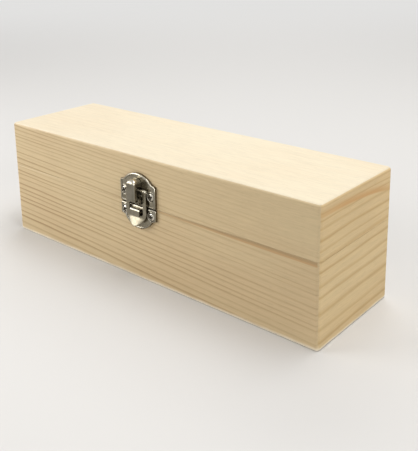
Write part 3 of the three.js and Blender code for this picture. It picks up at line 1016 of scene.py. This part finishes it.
def carve(target: bpy.types.Object, tool: bpy.types.Object, how: Carve) -> None:
    """Cuts, keeps or joins a solid with a tool solid, which is used up.

    Args:
        target: the solid that changes.
        tool: the solid that acts on it.
        how: what it does.
    """
    step = target.modifiers.new("carve", "BOOLEAN")
    step.object = tool
    step.operation = how.value
    step.solver = "EXACT"
    graph = bpy.context.evaluated_depsgraph_get()
    mesh = bpy.data.meshes.new_from_object(target.evaluated_get(graph))
    target.modifiers.clear()
    old, mesh.name = target.data, target.data.name
    target.data = mesh
    bpy.data.meshes.remove(old)
    bpy.data.objects.remove(tool)


def arc(centre: Spot, radius: float, start: float, stop: float, steps: int) -> list[Spot]:
    """Walks along a circle's arc.

    Args:
        centre: its centre.
        radius: its radius.
        start: the first angle in degrees.
        stop: the last angle in degrees.
        steps: how many pieces it has.

    Returns:
        The places on the arc.
    """
    turns = [math.radians(start + (stop - start) * i / steps) for i in range(steps + 1)]
    return [(centre[0] + radius * math.cos(t), centre[1] + radius * math.sin(t)) for t in turns]


def circle(centre: Spot, radius: float, sides: int) -> list[Spot]:
    """Walks once round a circle and gives one place for each of its sides."""
    return arc(centre, radius, 0, 360 * (sides - 1) / sides, sides - 1)


def bezier(points: Sequence[Spot], steps: int) -> list[Spot]:
    """Walks along a curve from its first to its last point, guided by those between.

    Args:
        points: the first end, the guide points and the last end.
        steps: how many pieces it has.

    Returns:
        The places on the curve.
    """
    places = []
    for i in range(steps + 1):
        row = [Vector(p) for p in points]
        while len(row) > 1:
            row = [a.lerp(b, i / steps) for a, b in zip(row, row[1:])]
        places.append(tuple(row[0]))
    return places


@dataclass(frozen=True)
class PlateShape:
    """One pressed plate's outline: straight sides, small ledges and an arc over its far end."""

    half: float
    near: float
    far: float
    bow: float
    ledge: float = 2.4 * MM
    ledge_fall: float = 0.5 * MM
    corner: float = 0.5 * MM
    least_corner: float = 0.05 * MM
    corner_loss: float = 0.4
    steps: int = 28

    def outline(self, inset: float) -> list[Spot]:
        """Walks round the outline.

        Args:
            inset: how far inside the plate's edge to walk.

        Returns:
            The (u, v) places; each inset gives the same number of them.
        """
        side = 1 if self.far > self.near else -1
        radius = self.bow - inset
        centre = self.far - side * self.bow
        half = self.half - inset
        start = math.asin((half - self.ledge) / radius)
        shoulder = centre + side * (radius * math.cos(start) - self.ledge_fall)
        near = self.near + side * inset
        cut = max(self.corner - self.corner_loss * inset, self.least_corner)
        places = [(-half + cut, near), (half - cut, near), (half, near + side * cut),
                  (half, shoulder - side * cut), (half - cut, shoulder)]
        for step in range(self.steps + 1):
            angle = start * (1 - 2 * step / self.steps)
            places.append((radius * math.sin(angle), centre + side * radius * math.cos(angle)))
        return places + [(-half + cut, shoulder), (-half, shoulder - side * cut),
                         (-half, near + side * cut)]


@dataclass
class RaisedScrew:
    """A small raised-head screw with a cross recess, seen from its head."""

    place: Spot
    turn: float
    seat: float
    radius: float = 1.9 * MM
    shank: float = 0.8 * MM
    shank_foot: float = -2.2 * MM
    shank_top: float = -1.0 * MM
    head_foot: float = -0.18 * MM
    dome: float = 0.75 * MM
    arm: float = 0.46 * MM
    reach: float = 1.35 * MM
    depth: float = 0.75 * MM
    dome_shares: tuple[float, ...] = (0.985, 0.93, 0.84)
    blends: tuple[float, ...] = (0.5, 0.2, 0.05, 0.0)
    wall: Spot = (0.88, 0.8)
    floor: Spot = (0.45, 1.0)
    sides: int = 48
    level: float = 1e-6

    def cross(self, angle: float) -> float:
        """Tells how far the recess reaches from the middle in one direction."""
        turned = (angle - self.turn) % (math.pi / 2)
        spread = math.sin(min(turned, math.pi / 2 - turned))
        return self.reach if spread < self.level else min(self.reach, self.arm / spread)

    def height(self, distance: float) -> float:
        """Gives the head's height above its rim at a distance from the middle."""
        share = min(distance / self.radius, 1.0)
        return self.dome * math.sqrt(max(1 - share * share, 0.0))

    def build(self, name: str, catch: CatchFrame, material: bpy.types.Material,
              recess: bpy.types.Material) -> bpy.types.Object:
        """Builds the head and a short length of shank.

        Args:
            name: the piece's name.
            catch: the catch's frame.
            material: the screw's material.
            recess: the near-black material inside the cross: painted shade.

        Returns:
            The new object.
        """
        shape = Surface()
        u0, v0 = self.place
        angles = [2 * math.pi * i / self.sides for i in range(self.sides)]

        def ring(distance: Callable[[float], float], lift: Callable[[float], float]) -> list[int]:
            """Adds one ring whose distance and height change with the angle."""
            return shape.ring([
                catch.at(u0 + distance(a) * math.cos(a), v0 + distance(a) * math.sin(a),
                         self.seat + lift(distance(a)))
                for a in angles
            ])

        rings = [ring(lambda a, r=radius: r, lambda d, h=lift: h) for radius, lift in (
            (self.shank, self.shank_foot), (self.shank, self.shank_top),
            (self.radius, self.head_foot), (self.radius, 0.0))]
        rings += [ring(lambda a, s=share: self.radius * s, self.height)
                  for share in self.dome_shares]
        edge = self.dome_shares[-1] * self.radius
        rings += [ring(lambda a, b=blend: b * edge + (1 - b) * self.cross(a), self.height)
                  for blend in self.blends]
        for one, two in zip(rings, rings[1:]):
            shape.join(one, two)
        # The cross's walls and floor take the recess material, painted shade.
        shape.slot = 1
        last = rings[-1]
        for share, sunk in (self.wall, self.floor):
            sunken = ring(lambda a, s=share: s * self.cross(a),
                          lambda d, h=sunk: self.dome - h * self.depth)
            shape.join(last, sunken)
            last = sunken
        shape.add(*last)
        return shape.piece(name, material, recess)


@dataclass
class FingerLever:
    """The pressed finger lever: a channel with a rounded front and two cut-away flanges."""

    catch: CatchFrame
    half: float
    foot: float
    tip: float
    front: float
    back: float
    pin_w: float = 2.35 * MM
    pin_v: float = 7.8 * MM
    pin_bore: float = 0.65 * MM
    pivot_w: float = 3.1 * MM
    pivot_v: float = LEVER_PIVOT_RISE
    pivot_radius: float = 1.6 * MM
    pivot_bore: float = 0.95 * MM
    corner: float = 2.6 * MM
    side_round: float = 1.05 * MM
    tip_round: float = 2.35 * MM
    wall: float = 0.7 * MM
    tail: float = 1.4 * MM
    spare: Spot = (0.3 * MM, 0.4 * MM)
    brow: float = 3.4 * MM
    elbow: Spot = (3.7 * MM, 4.9 * MM)
    pivot_arc: tuple[float, float, int] = (-4, -225, 30)
    pin_arc: tuple[float, float, int] = (-45, -178, 14)
    block_end: Spot = (1 * MM, 0.5 * MM)
    room_end: Spot = (4 * MM, -1 * MM)
    corner_steps: int = 14
    bend_steps: int = 10
    guide_steps: int = 12
    bore_sides: int = 24

    @classmethod
    def from_frame(cls, catch: CatchFrame) -> "FingerLever":
        """Reads the lever's outer sizes from its CAD node."""
        low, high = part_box("catch_lever")
        return cls(catch, high.x, low.z - catch.middle, high.z - catch.middle,
                   -low.y - catch.face, -high.y - catch.face)

    def pillow(self, name: str, inset: float, foot: float, back: float) -> bpy.types.Object:
        """Builds the rounded block that the lever's skin follows.

        Args:
            name: the solid's name.
            inset: how far inside the skin it lies.
            foot: where it ends below.
            back: where it ends behind.

        Returns:
            The solid.
        """
        half, tip, front = self.half - inset, self.tip - inset, self.front - inset
        corner, steps, middle = self.corner - inset, self.corner_steps, (foot + tip) / 2
        walk = [(half, foot, 0.0), (half, middle, 0.0)]
        for side, start in ((1, 0), (-1, 90)):
            bow = arc((side * (half - corner), tip - corner), corner, start, start + 90, steps)
            walk += [(u, v, start + 90 * i / steps) for i, (u, v) in enumerate(bow)]
        walk += [(-half, middle, 180.0), (-half, foot, 180.0)]
        rings = [[self.catch.at(u, v, back) for u, v, _ in walk]]
        for step in range(self.bend_steps + 1):
            bend = math.radians(90 * step / self.bend_steps)
            ring = []
            for u, v, turn in walk:
                facing = math.radians(turn)
                more = (self.tip_round - self.side_round) * math.sin(facing) ** 2
                radius = self.side_round + more - inset
                pull = radius * (1 - math.cos(bend))
                ring.append(self.catch.at(u - pull * math.cos(facing), v - pull * math.sin(facing),
                                          front - radius * (1 - math.sin(bend))))
            rings.append(ring)
        shape = Surface()
        shape.loft(rings)
        return shape.piece(name)

    def across(self, name: str, walk: Sequence[Spot]) -> bpy.types.Object:
        """Builds a solid that crosses the lever.

        Args:
            name: the solid's name.
            walk: its outline, in (w, v).

        Returns:
            The solid.
        """
        shape = Surface()
        wide = 2 * self.half
        shape.loft([[self.catch.at(u, v, w) for w, v in walk] for u in (-wide, wide)])
        return shape.piece(name)

    def flanges(self) -> list[Spot]:
        """Walks round the flanges' outline, in (w, v)."""
        outer, top = self.front + self.spare[0], self.tip + self.spare[1]
        walk = bezier([(self.back, self.tip - self.tail), (self.back, top),
                       (self.back + self.tail, top)], self.guide_steps)
        walk += [(outer, top)]
        walk += bezier([(outer, self.brow), (outer, self.pivot_v),
                        (self.pivot_w + self.pivot_radius, self.pivot_v)], self.guide_steps)
        walk += arc((self.pivot_w, self.pivot_v), self.pivot_radius, *self.pivot_arc)
        walk += [self.elbow]
        return walk + arc((self.pin_w, self.pin_v), self.pin_w - self.back, *self.pin_arc)

    def build(self, name: str, material: bpy.types.Material) -> bpy.types.Object:
        """Builds the lever.

        Args:
            name: the piece's name.
            material: its material.

        Returns:
            The new object.
        """
        longer, back = self.block_end
        piece = self.pillow(name, 0.0, self.foot - longer, back)
        carve(piece, self.across("lever_side_block", self.flanges()), Carve.KEEP_COMMON)
        longer, back = self.room_end
        carve(piece, self.pillow("lever_room", self.wall, self.foot - longer, back), Carve.AWAY)
        for w, v, radius in ((self.pivot_w, self.pivot_v, self.pivot_bore),
                             (self.pin_w, self.pin_v, self.pin_bore)):
            bore = self.across("lever_bore", circle((w, v), radius, self.bore_sides))
            carve(piece, bore, Carve.AWAY)
        dress(piece, material)
        return piece


@dataclass(frozen=True)
class TurnedPin:
    """A pin along u, given in millimetres by its radius at places along it."""

    w: float
    v: float
    profile: tuple[Spot, ...]
    sides: int = 36

    def build(self, name: str, catch: CatchFrame,
              *materials: bpy.types.Material) -> bpy.types.Object:
        """Builds the pin.

        Args:
            name: the piece's name.
            catch: the catch's frame.
            materials: its material, if it has one.

        Returns:
            The new object.
        """
        shape = Surface()
        shape.loft([
            [catch.at(u * MM, v, w) for w, v in circle((self.w, self.v), radius * MM, self.sides)]
            for u, radius in self.profile
        ])
        return shape.piece(name, *materials)


@dataclass
class WireLoop:
    """The flat loop that the lever pulls: two rails, a window and a flared, dished tab."""

    catch: CatchFrame
    inner: float = 4.6 * MM
    rail: float = 2.2 * MM
    sheet: float = 0.7 * MM
    edge_round: float = 0.2 * MM
    middle_w: float = 2.35 * MM
    pin_v: float = 7.8 * MM
    window: float = -4.9 * MM
    window_round: float = 1.2 * MM
    waist: float = -4.2 * MM
    waist_guide: float = 1.8 * MM
    foot: float = -10.6 * MM
    foot_guide: float = 2.8 * MM
    tab_turn: float = 22.0
    tab_soft: float = 1.6 * MM
    tab_dish: float = 1.05 * MM
    rail_steps: int = 3
    edge_steps: int = 4
    steps: int = 12
    eye: tuple[Spot, ...] = (
        (4.6, 0.85), (4.65, 0.95), (4.75, 1.0), (6.65, 1.0), (6.75, 0.95), (6.8, 0.85))
    bore: tuple[Spot, ...] = ((-9.0, 0.65), (9.0, 0.65))

    def stations(self) -> list[tuple[Spot, Spot]]:
        """Walks down one rail, round the tab and up the other rail.

        Returns:
            The outer and the inner (u, v) place at each station.
        """
        outer = self.inner + self.rail
        level = self.window + self.window_round
        edge = self.inner - self.window_round
        shares = [i / self.rail_steps for i in range(self.rail_steps)]
        outside = [(outer, self.pin_v + (self.waist - self.pin_v) * share) for share in shares]
        outside += bezier([(outer, self.waist), (outer, self.waist - self.waist_guide),
                           (self.foot_guide, self.foot), (0.0, self.foot)], 2 * self.steps)
        inside = [(self.inner, self.pin_v + (level - self.pin_v) * share) for share in shares]
        inside += arc((edge, level), self.window_round, 0, -90, self.steps)
        inside += [(edge * (1 - (i + 1) / self.steps), self.window) for i in range(self.steps)]
        half = list(zip(outside, inside))
        return half + [((-a, b), (-c, d)) for (a, b), (c, d) in reversed(half[:-1])]

    def lift(self, u: float, v: float) -> float:
        """Bends and dishes the tab.

        Args:
            u: the place across the loop.
            v: the place up the loop.

        Returns:
            How far the sheet's middle stands out there beyond its flat part.
        """
        drop = max(self.window - v, 0.0)
        bent = min(drop, self.tab_soft)
        turn = math.tan(math.radians(self.tab_turn))
        out = turn * (bent * bent / (2 * self.tab_soft) + max(drop - self.tab_soft, 0.0))
        share = drop / (self.window - self.foot)
        return out - self.tab_dish * min(share, 1.0) * (u / (self.inner + self.rail)) ** 2

    def section(self, outer: Spot, inner: Spot) -> list[Place]:
        """Walks round the sheet's section between its outer and its inner edge, both rounded.

        Args:
            outer: the (u, v) place of the outer edge.
            inner: the (u, v) place of the inner edge.

        Returns:
            The places in the row frame.
        """
        start, span = Vector(inner), Vector(outer) - Vector(inner)
        wide, half, soft = span.length, self.sheet / 2, self.edge_round
        flat = [soft + (wide - 2 * soft) * i / self.steps for i in range(1, self.steps)]
        profile = [(t, half) for t in flat]
        profile += arc((wide - soft, half - soft), soft, 90, 0, self.edge_steps)
        profile += arc((wide - soft, soft - half), soft, 0, -90, self.edge_steps)
        profile += [(t, -half) for t in reversed(flat)]
        profile += arc((soft, soft - half), soft, 270, 180, self.edge_steps)
        profile += arc((soft, half - soft), soft, 180, 90, self.edge_steps)
        places = []
        for across, high in profile:
            u, v = start + span * (across / wide)
            places.append(self.catch.at(u, v, self.middle_w + self.lift(u, v) + high))
        return places

    def build(self, name: str, material: bpy.types.Material) -> bpy.types.Object:
        """Builds the loop, with an eye for the rivet on each rail.

        Args:
            name: the piece's name.
            material: its material.

        Returns:
            The new object.
        """
        shape = Surface()
        shape.loft([self.section(*places) for places in self.stations()])
        piece = shape.piece(name)
        for side in (-1, 1):
            profile = tuple((side * u, radius) for u, radius in self.eye)
            eye = TurnedPin(self.middle_w, self.pin_v, profile)
            carve(piece, eye.build("loop_eye", self.catch), Carve.JOIN)
        bore = TurnedPin(self.middle_w, self.pin_v, self.bore)
        carve(piece, bore.build("loop_bore", self.catch), Carve.AWAY)
        dress(piece, material)
        return piece


def mirrored(*profile: Spot) -> tuple[Spot, ...]:
    """Completes a pin's profile from its right half."""
    return tuple((-u, r) for u, r in reversed(profile)) + profile


@dataclass
class ToggleCatch:
    """The catch: two plates, the finger lever, the loop, their pins and four screws."""

    softener: Softener
    film_and_light_group: bpy.types.NodeTree
    catch: CatchFrame
    plate_face: float = 1.2 * MM
    plate_round: float = 0.14 * MM
    lever_round: float = 0.12 * MM
    screw_sink: float = 0.15 * MM
    rim_width: float = 1.15 * MM
    rim_rise: float = 0.42 * MM
    rim_profile: tuple[Spot, ...] = (
        (0.03, -0.6), (0.03, -0.2), (0.08, 0.15), (0.17, 0.45), (0.3, 0.72), (0.45, 0.91),
        (0.6, 1.0), (0.74, 0.94), (0.86, 0.66), (0.94, 0.3), (1.0, -0.1))
    dimple_profile: tuple[Spot, ...] = (
        (2.78, 1.1), (2.7, 1.32), (2.57, 1.44), (2.43, 1.46), (2.32, 1.38), (2.26, 1.23),
        (1.6, 1.22), (1.6, 1.0))
    dimple_floor: int = 5
    dimple_sides: int = 40
    loop_rivet: tuple[Spot, ...] = mirrored(
        (6.88, 0.5), (6.88, 0.84), (6.94, 0.9), (7.14, 0.9), (7.2, 0.84), (7.24, 0.7))
    lever_rivet: tuple[Spot, ...] = mirrored((3.85, 0.8), (3.95, 0.76), (4.0, 0.62))
    tiers: tuple[tuple[str, float, int], ...] = (("lid", 12.4 * MM, 1), ("base", 11.0 * MM, -1))
    screw_turns: tuple[tuple[str, float], ...] = (("left", 0.5), ("right", 0.2))
    # The plate nickel sits well below plain nickel: painted shade for the reflections of a dark
    # room. The rolled copy for rims and dimples is a little lighter, a painted highlight. The
    # lever's copy is darker still, painted shade. The recess colour is near black, painted shade in
    # the crosses and round the screw heads.
    nickel: PlatedFinish = PlatedFinish(
        "nickel_plate", color=(0.25, 0.228, 0.175), dull=(0.185, 0.165, 0.12), roughness=0.17,
        highlight_amount=0.6)
    rolled: PlatedFinish = PlatedFinish(
        "rolled_nickel_lit", color=(0.27, 0.25, 0.195), dull=(0.19, 0.17, 0.13), roughness=0.15,
        highlight_amount=0.7)
    pressed: PlatedFinish = PlatedFinish(
        "lever_nickel_shaded", color=(0.20, 0.183, 0.145), dull=(0.15, 0.135, 0.10), roughness=0.16,
        highlight_amount=0.7)
    bright: PlatedFinish = PlatedFinish(
        "screw_nickel", color=(0.62, 0.59, 0.52), dull=(0.48, 0.45, 0.38), roughness=0.13)
    dark: PlatedFinish = PlatedFinish(
        "recess_painted_shade", color=(0.05, 0.043, 0.033), dull=(0.03, 0.026, 0.02), roughness=0.4,
        highlight_amount=0.0)

    def rim(self, name: str, plate: PlateShape, material: bpy.types.Material) -> bpy.types.Object:
        """Builds the rolled rim that stands up round a plate's edge.

        Args:
            name: the piece's name.
            plate: the plate's outline.
            material: the rim's material.

        Returns:
            The new object.
        """
        shape = Surface()
        rings = []
        for share, rise in self.rim_profile:
            w = self.plate_face + self.rim_rise * rise
            outline = plate.outline(share * self.rim_width)
            rings.append(shape.ring([self.catch.at(u, v, w) for u, v in outline]))
        for one, two in zip(rings, rings[1:] + rings[:1]):
            shape.join(one, two)
        return shape.piece(name, material)

    def dimple(self, name: str, place: Spot, material: bpy.types.Material,
               floor: bpy.types.Material) -> bpy.types.Object:
        """Builds the raised ring that each screw sits in.

        Args:
            name: the piece's name.
            place: the screw's (u, v) place.
            material: the ring's material.
            floor: the near-black material of the sunk floor round the screw: painted shade.

        Returns:
            The new object.
        """
        shape = Surface()
        angles = [2 * math.pi * i / self.dimple_sides for i in range(self.dimple_sides)]
        u, v = place
        rings = [
            shape.ring([
                self.catch.at(u + radius * MM * math.cos(a), v + radius * MM * math.sin(a), w * MM)
                for a in angles
            ])
            for radius, w in self.dimple_profile
        ]
        for number, (one, two) in enumerate(zip(rings, rings[1:] + rings[:1])):
            # The sunk floor round the head takes the second material, painted shade.
            shape.slot = int(number == self.dimple_floor)
            shape.join(one, two)
        return shape.piece(name, material, floor)

    def build_moving(self, nickel: bpy.types.Material, pressed: bpy.types.Material,
                     bright: bpy.types.Material) -> None:
        """Builds the lever, the loop and both pins in place of their CAD nodes.

        Args:
            nickel: the loop's material, darkened nickel: painted shade.
            pressed: the lever's material, darker still: painted shade.
            bright: the pins' material.
        """
        lever = FingerLever.from_frame(self.catch)
        loop = WireLoop(self.catch)
        loop_pin = TurnedPin(lever.pin_w, lever.pin_v, self.loop_rivet)
        lever_pin = TurnedPin(lever.pivot_w, lever.pivot_v, self.lever_rivet)
        made = (
            ("catch_lever", "lever", lever.build("catch_finger_lever", pressed)),
            ("catch_loop", "loop", loop.build("catch_pull_loop", nickel)),
            ("catch_loop_pin", "lever", loop_pin.build("catch_loop_rivet", self.catch, bright)),
            ("catch_lever_pin", "lid", lever_pin.build("catch_lever_rivet", self.catch, bright)),
        )
        for node, body, piece in made:
            if node == "catch_lever":
                self.softener.rounded(piece, self.lever_round, self.softener.built_angle)
            else:
                self.softener.finish(piece)
            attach(piece, body)
            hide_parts(node)
            LOG.info("%s rebuilt as %s", node, piece.name)

    def build_screw(self, tier: str, hand: str, turn: float, rolled: bpy.types.Material,
                    bright: bpy.types.Material, recess: bpy.types.Material) -> None:
        """Builds one screw in place of its CAD node, and the dimple round it.

        Args:
            tier: the body that it is driven into.
            hand: the side that it is on.
            turn: how far its cross is turned, in radians.
            rolled: the dimple's material, a lighter copy of the nickel: painted highlight.
            bright: the screw's material.
            recess: the near-black material inside the cross and round the head: painted shade.
        """
        node = f"catch_{tier}_screw_{hand}"
        centre = box_centre(node)
        place = (centre.x, centre.z - self.catch.middle)
        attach(self.dimple(f"catch_{tier}_dimple_{hand}", place, rolled, recess), tier)
        screw = RaisedScrew(place, turn, self.plate_face - self.screw_sink)
        piece = screw.build(f"catch_{tier}_cross_screw_{hand}", self.catch, bright, recess)
        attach(piece, tier)
        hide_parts(node)
        LOG.info("%s rebuilt with a cross recess", node)

    def build(self) -> None:
        """Rounds and dresses the catch's pieces and adds their pressed details."""
        # rolled is the lighter copy (painted highlight), pressed the darker one (painted shade),
        # recess the near-black painted shade.
        nickel, rolled, pressed, bright, recess = (
            finish.material(self.film_and_light_group)
            for finish in (self.nickel, self.rolled, self.pressed, self.bright, self.dark))
        for name in ("catch_lid_plate", "catch_base_plate"):
            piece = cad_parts[name]
            self.softener.fitting(piece, self.plate_round)
            dress(piece, nickel)
            LOG.info("%s rounded", name)
        self.build_moving(nickel, pressed, bright)
        for tier, bow, side in self.tiers:
            low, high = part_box(f"catch_{tier}_plate")
            near, far = (z - self.catch.middle for z in (low.z, high.z)[::side])
            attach(self.rim(f"catch_{tier}_rim", PlateShape(high.x, near, far, bow), rolled), tier)
            for hand, turn in self.screw_turns:
                self.build_screw(tier, hand, turn, rolled, bright, recess)


@dataclass
class ButtHinges:
    """The two small hinges on the back: leaves, pins and nails."""

    softener: Softener
    film_and_light_group: bpy.types.NodeTree
    edge_round: float = 0.1 * MM
    # Both colours take the film's painted highlight on edges and its painted shade within 0.4 mm of
    # the wood.
    leaf: PlatedFinish = PlatedFinish(
        "hinge_nickel", color=(0.50, 0.47, 0.42), dull=(0.42, 0.39, 0.345), roughness=0.22,
        shade_reach=0.4 * MM)
    nail: PlatedFinish = PlatedFinish(
        "nail_nickel", color=(0.55, 0.53, 0.49), dull=(0.45, 0.43, 0.39), roughness=0.2,
        shade_reach=0.4 * MM)

    def build(self) -> None:
        """Rounds and dresses the hinges' pieces."""
        leaf = self.leaf.material(self.film_and_light_group)
        nail = self.nail.material(self.film_and_light_group)
        for name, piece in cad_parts.items():
            if name.startswith("hinge_"):
                self.softener.fitting(piece, self.edge_round, 2)
                dress(piece, leaf if name.endswith("leaf") else nail)
                LOG.info("%s dressed", name)


# Studio


@dataclass(frozen=True)
class Lamp:
    """One soft rectangular lamp, in metres and watts; it faces its target or the box's middle."""

    name: str
    place: Place
    size: Spot
    power: float
    target: Optional[Place] = None
    color: Color = (1.0, 0.985, 0.96)

    def build(self, middle: Place) -> None:
        """Makes the lamp."""
        data = bpy.data.lights.new(self.name, "AREA")
        data.shape = "RECTANGLE"
        data.size, data.size_y = self.size
        data.energy = self.power
        data.color = self.color
        lamp = bpy.data.objects.new(self.name, data)
        lamp.location = self.place
        facing = Vector(self.target or middle) - Vector(self.place)
        lamp.rotation_euler = facing.to_track_quat("-Z", "Y").to_euler()
        bpy.context.scene.collection.objects.link(lamp)


@dataclass
class Studio:
    """A pale floor and backdrop, soft lamps and the camera at the photograph's angle."""

    plan: BoxPlan
    floor_size: float = 6.0
    floor_color: Color = (0.66, 0.655, 0.65)
    floor_roughness: float = 0.9
    floor_specular: float = 0.1
    world_color: Color = (1.0, 0.99, 0.97)
    world_strength: float = 0.2
    backdrop: Color = (0.76, 0.755, 0.745)
    fade: Spot = (0.4, 1.4)
    lamps: tuple[Lamp, ...] = (
        Lamp("overhead", (0.22, 0.18, 0.95), (0.7, 0.5), 6.6),
        Lamp("front_left", (-0.50, -0.43, 0.26), (0.42, 0.36), 3.0),
        Lamp("camera_side", (0.42, -1.05, 0.85), (0.6, 0.5), 0.9),
        Lamp("right_side", (0.95, -0.25, 0.45), (0.4, 0.5), 3.6),
        Lamp("backdrop", (-0.9, 1.15, 1.2), (1.2, 1.2), 16.0, (-0.95, 1.25, 0.0)),
    )

    @staticmethod
    def seen(w: Wiring) -> Signal:
        """Gives 1 for rays that see the backdrop, straight or mirrored, and 0 for lighting rays."""
        rays = w.node("ShaderNodeLightPath").outputs
        shown = w.math("MAXIMUM", rays["Is Camera Ray"], rays["Is Glossy Ray"])
        return shown.step("MAXIMUM", rays["Is Transmission Ray"])

    @staticmethod
    def surface(w: Wiring, output: str, factor: Signal, one: bpy.types.Node, two: Signal) -> None:
        """Mixes two shaders into a tree's output.

        Args:
            w: the tree's wiring.
            output: the output node's name.
            factor: how much of the second shader shows.
            one: the first shader's node.
            two: the second shader.
        """
        mix = w.value("ShaderNodeMixShader", {0: factor, 1: one.outputs[0], 2: two})
        w.feed(w.tree.nodes[output].inputs["Surface"], mix)

    def floor(self) -> None:
        """Lays the floor, which fades into the backdrop."""
        half = self.floor_size / 2
        mesh = bpy.data.meshes.new("floor")
        corners = [(-half, -half, 0), (half, -half, 0), (half, half, 0), (-half, half, 0)]
        mesh.from_pydata(corners, [], [(0, 1, 2, 3)])
        floor = bpy.data.objects.new("floor", mesh)
        bpy.context.scene.collection.objects.link(floor)
        paper, w, shader = new_material("floor_paper")
        w.feed(shader["Base Color"], rgba(self.floor_color))
        w.feed(shader["Roughness"], self.floor_roughness)
        w.feed(shader["Specular IOR Level"], self.floor_specular)
        place = w.value("ShaderNodeTexCoord", {}, "Object")
        reach = w.value("ShaderNodeVectorMath", {0: place}, "Value", operation="LENGTH")
        glow = w.value("ShaderNodeEmission", {"Color": rgba(self.backdrop)})
        factor = w.between(reach, *self.fade) * self.seen(w)
        self.surface(w, "Material Output", factor, paper.node_tree.nodes["Principled BSDF"], glow)
        dress(floor, paper)

    def world(self) -> None:
        """Sets the even light of the room and the backdrop that is seen in its place."""
        world = bpy.data.worlds.new("room")
        world.use_nodes = True
        w = Wiring(world.node_tree)
        back = world.node_tree.nodes["Background"]
        w.feed(back.inputs["Color"], rgba(self.world_color))
        w.feed(back.inputs["Strength"], self.world_strength)
        sky = w.value("ShaderNodeBackground", {"Color": rgba(self.backdrop)})
        self.surface(w, "World Output", self.seen(w), back, sky)
        bpy.context.scene.world = world

    def build(self) -> None:
        """Builds the floor, the world, the lamps and the camera."""
        self.floor()
        self.world()
        for lamp in self.lamps:
            lamp.build((0.0, 0.0, self.plan.height / 2))
        PhotoCamera().build()


@dataclass
class PhotoCamera:
    """The camera found from the box's corners in the photograph, in pixels, degrees and metres."""

    image_height: int = 451
    focal_pixels: float = 711.0
    centre_row: float = 110.0
    azimuth: float = 40.72
    pitch: float = 14.10
    roll: float = -0.91
    place: Place = (0.23875, -0.25442, 0.16897)
    sensor: float = 36.0

    def build(self) -> None:
        """Makes the camera and sets it as the scene's."""
        turn, tilt, lean = (math.radians(a) for a in (self.azimuth, self.pitch, self.roll))
        ahead = Vector((-math.sin(turn) * math.cos(tilt), math.cos(turn) * math.cos(tilt),
                        -math.sin(tilt)))
        level = ahead.cross(Vector((0, 0, 1))).normalized()
        down = ahead.cross(level)
        right = level * math.cos(lean) - down * math.sin(lean)
        below = level * math.sin(lean) + down * math.cos(lean)
        data = bpy.data.cameras.new("photo_camera")
        data.sensor_width = self.sensor
        data.lens = self.focal_pixels * self.sensor / self.image_height
        data.shift_y = (self.centre_row - self.image_height / 2) / self.image_height
        camera = bpy.data.objects.new("photo_camera", data)
        axes = Matrix((right, -below, -ahead)).transposed()
        camera.matrix_world = Matrix.Translation(self.place) @ axes.to_4x4()
        bpy.context.scene.collection.objects.link(camera)
        bpy.context.scene.camera = camera


def main() -> None:
    """Builds every sub-assembly and the studio."""
    logging.basicConfig(level=logging.INFO, format="%(name)s: %(message)s")
    bpy.context.scene.view_settings.view_transform = "Standard"
    plan = BoxPlan.from_frame()
    softener = Softener(plan)
    film = MetalFilmAndPaintedLight().build()
    WoodenBox(plan, softener, PineGrain().build(), EdgeWearAndHighlight(plan).build()).build()
    ToggleCatch(softener, film, CatchFrame.from_frame()).build()
    ButtHinges(softener, film).build()
    Studio(plan).build()


if __name__ == "__main__":
    main()
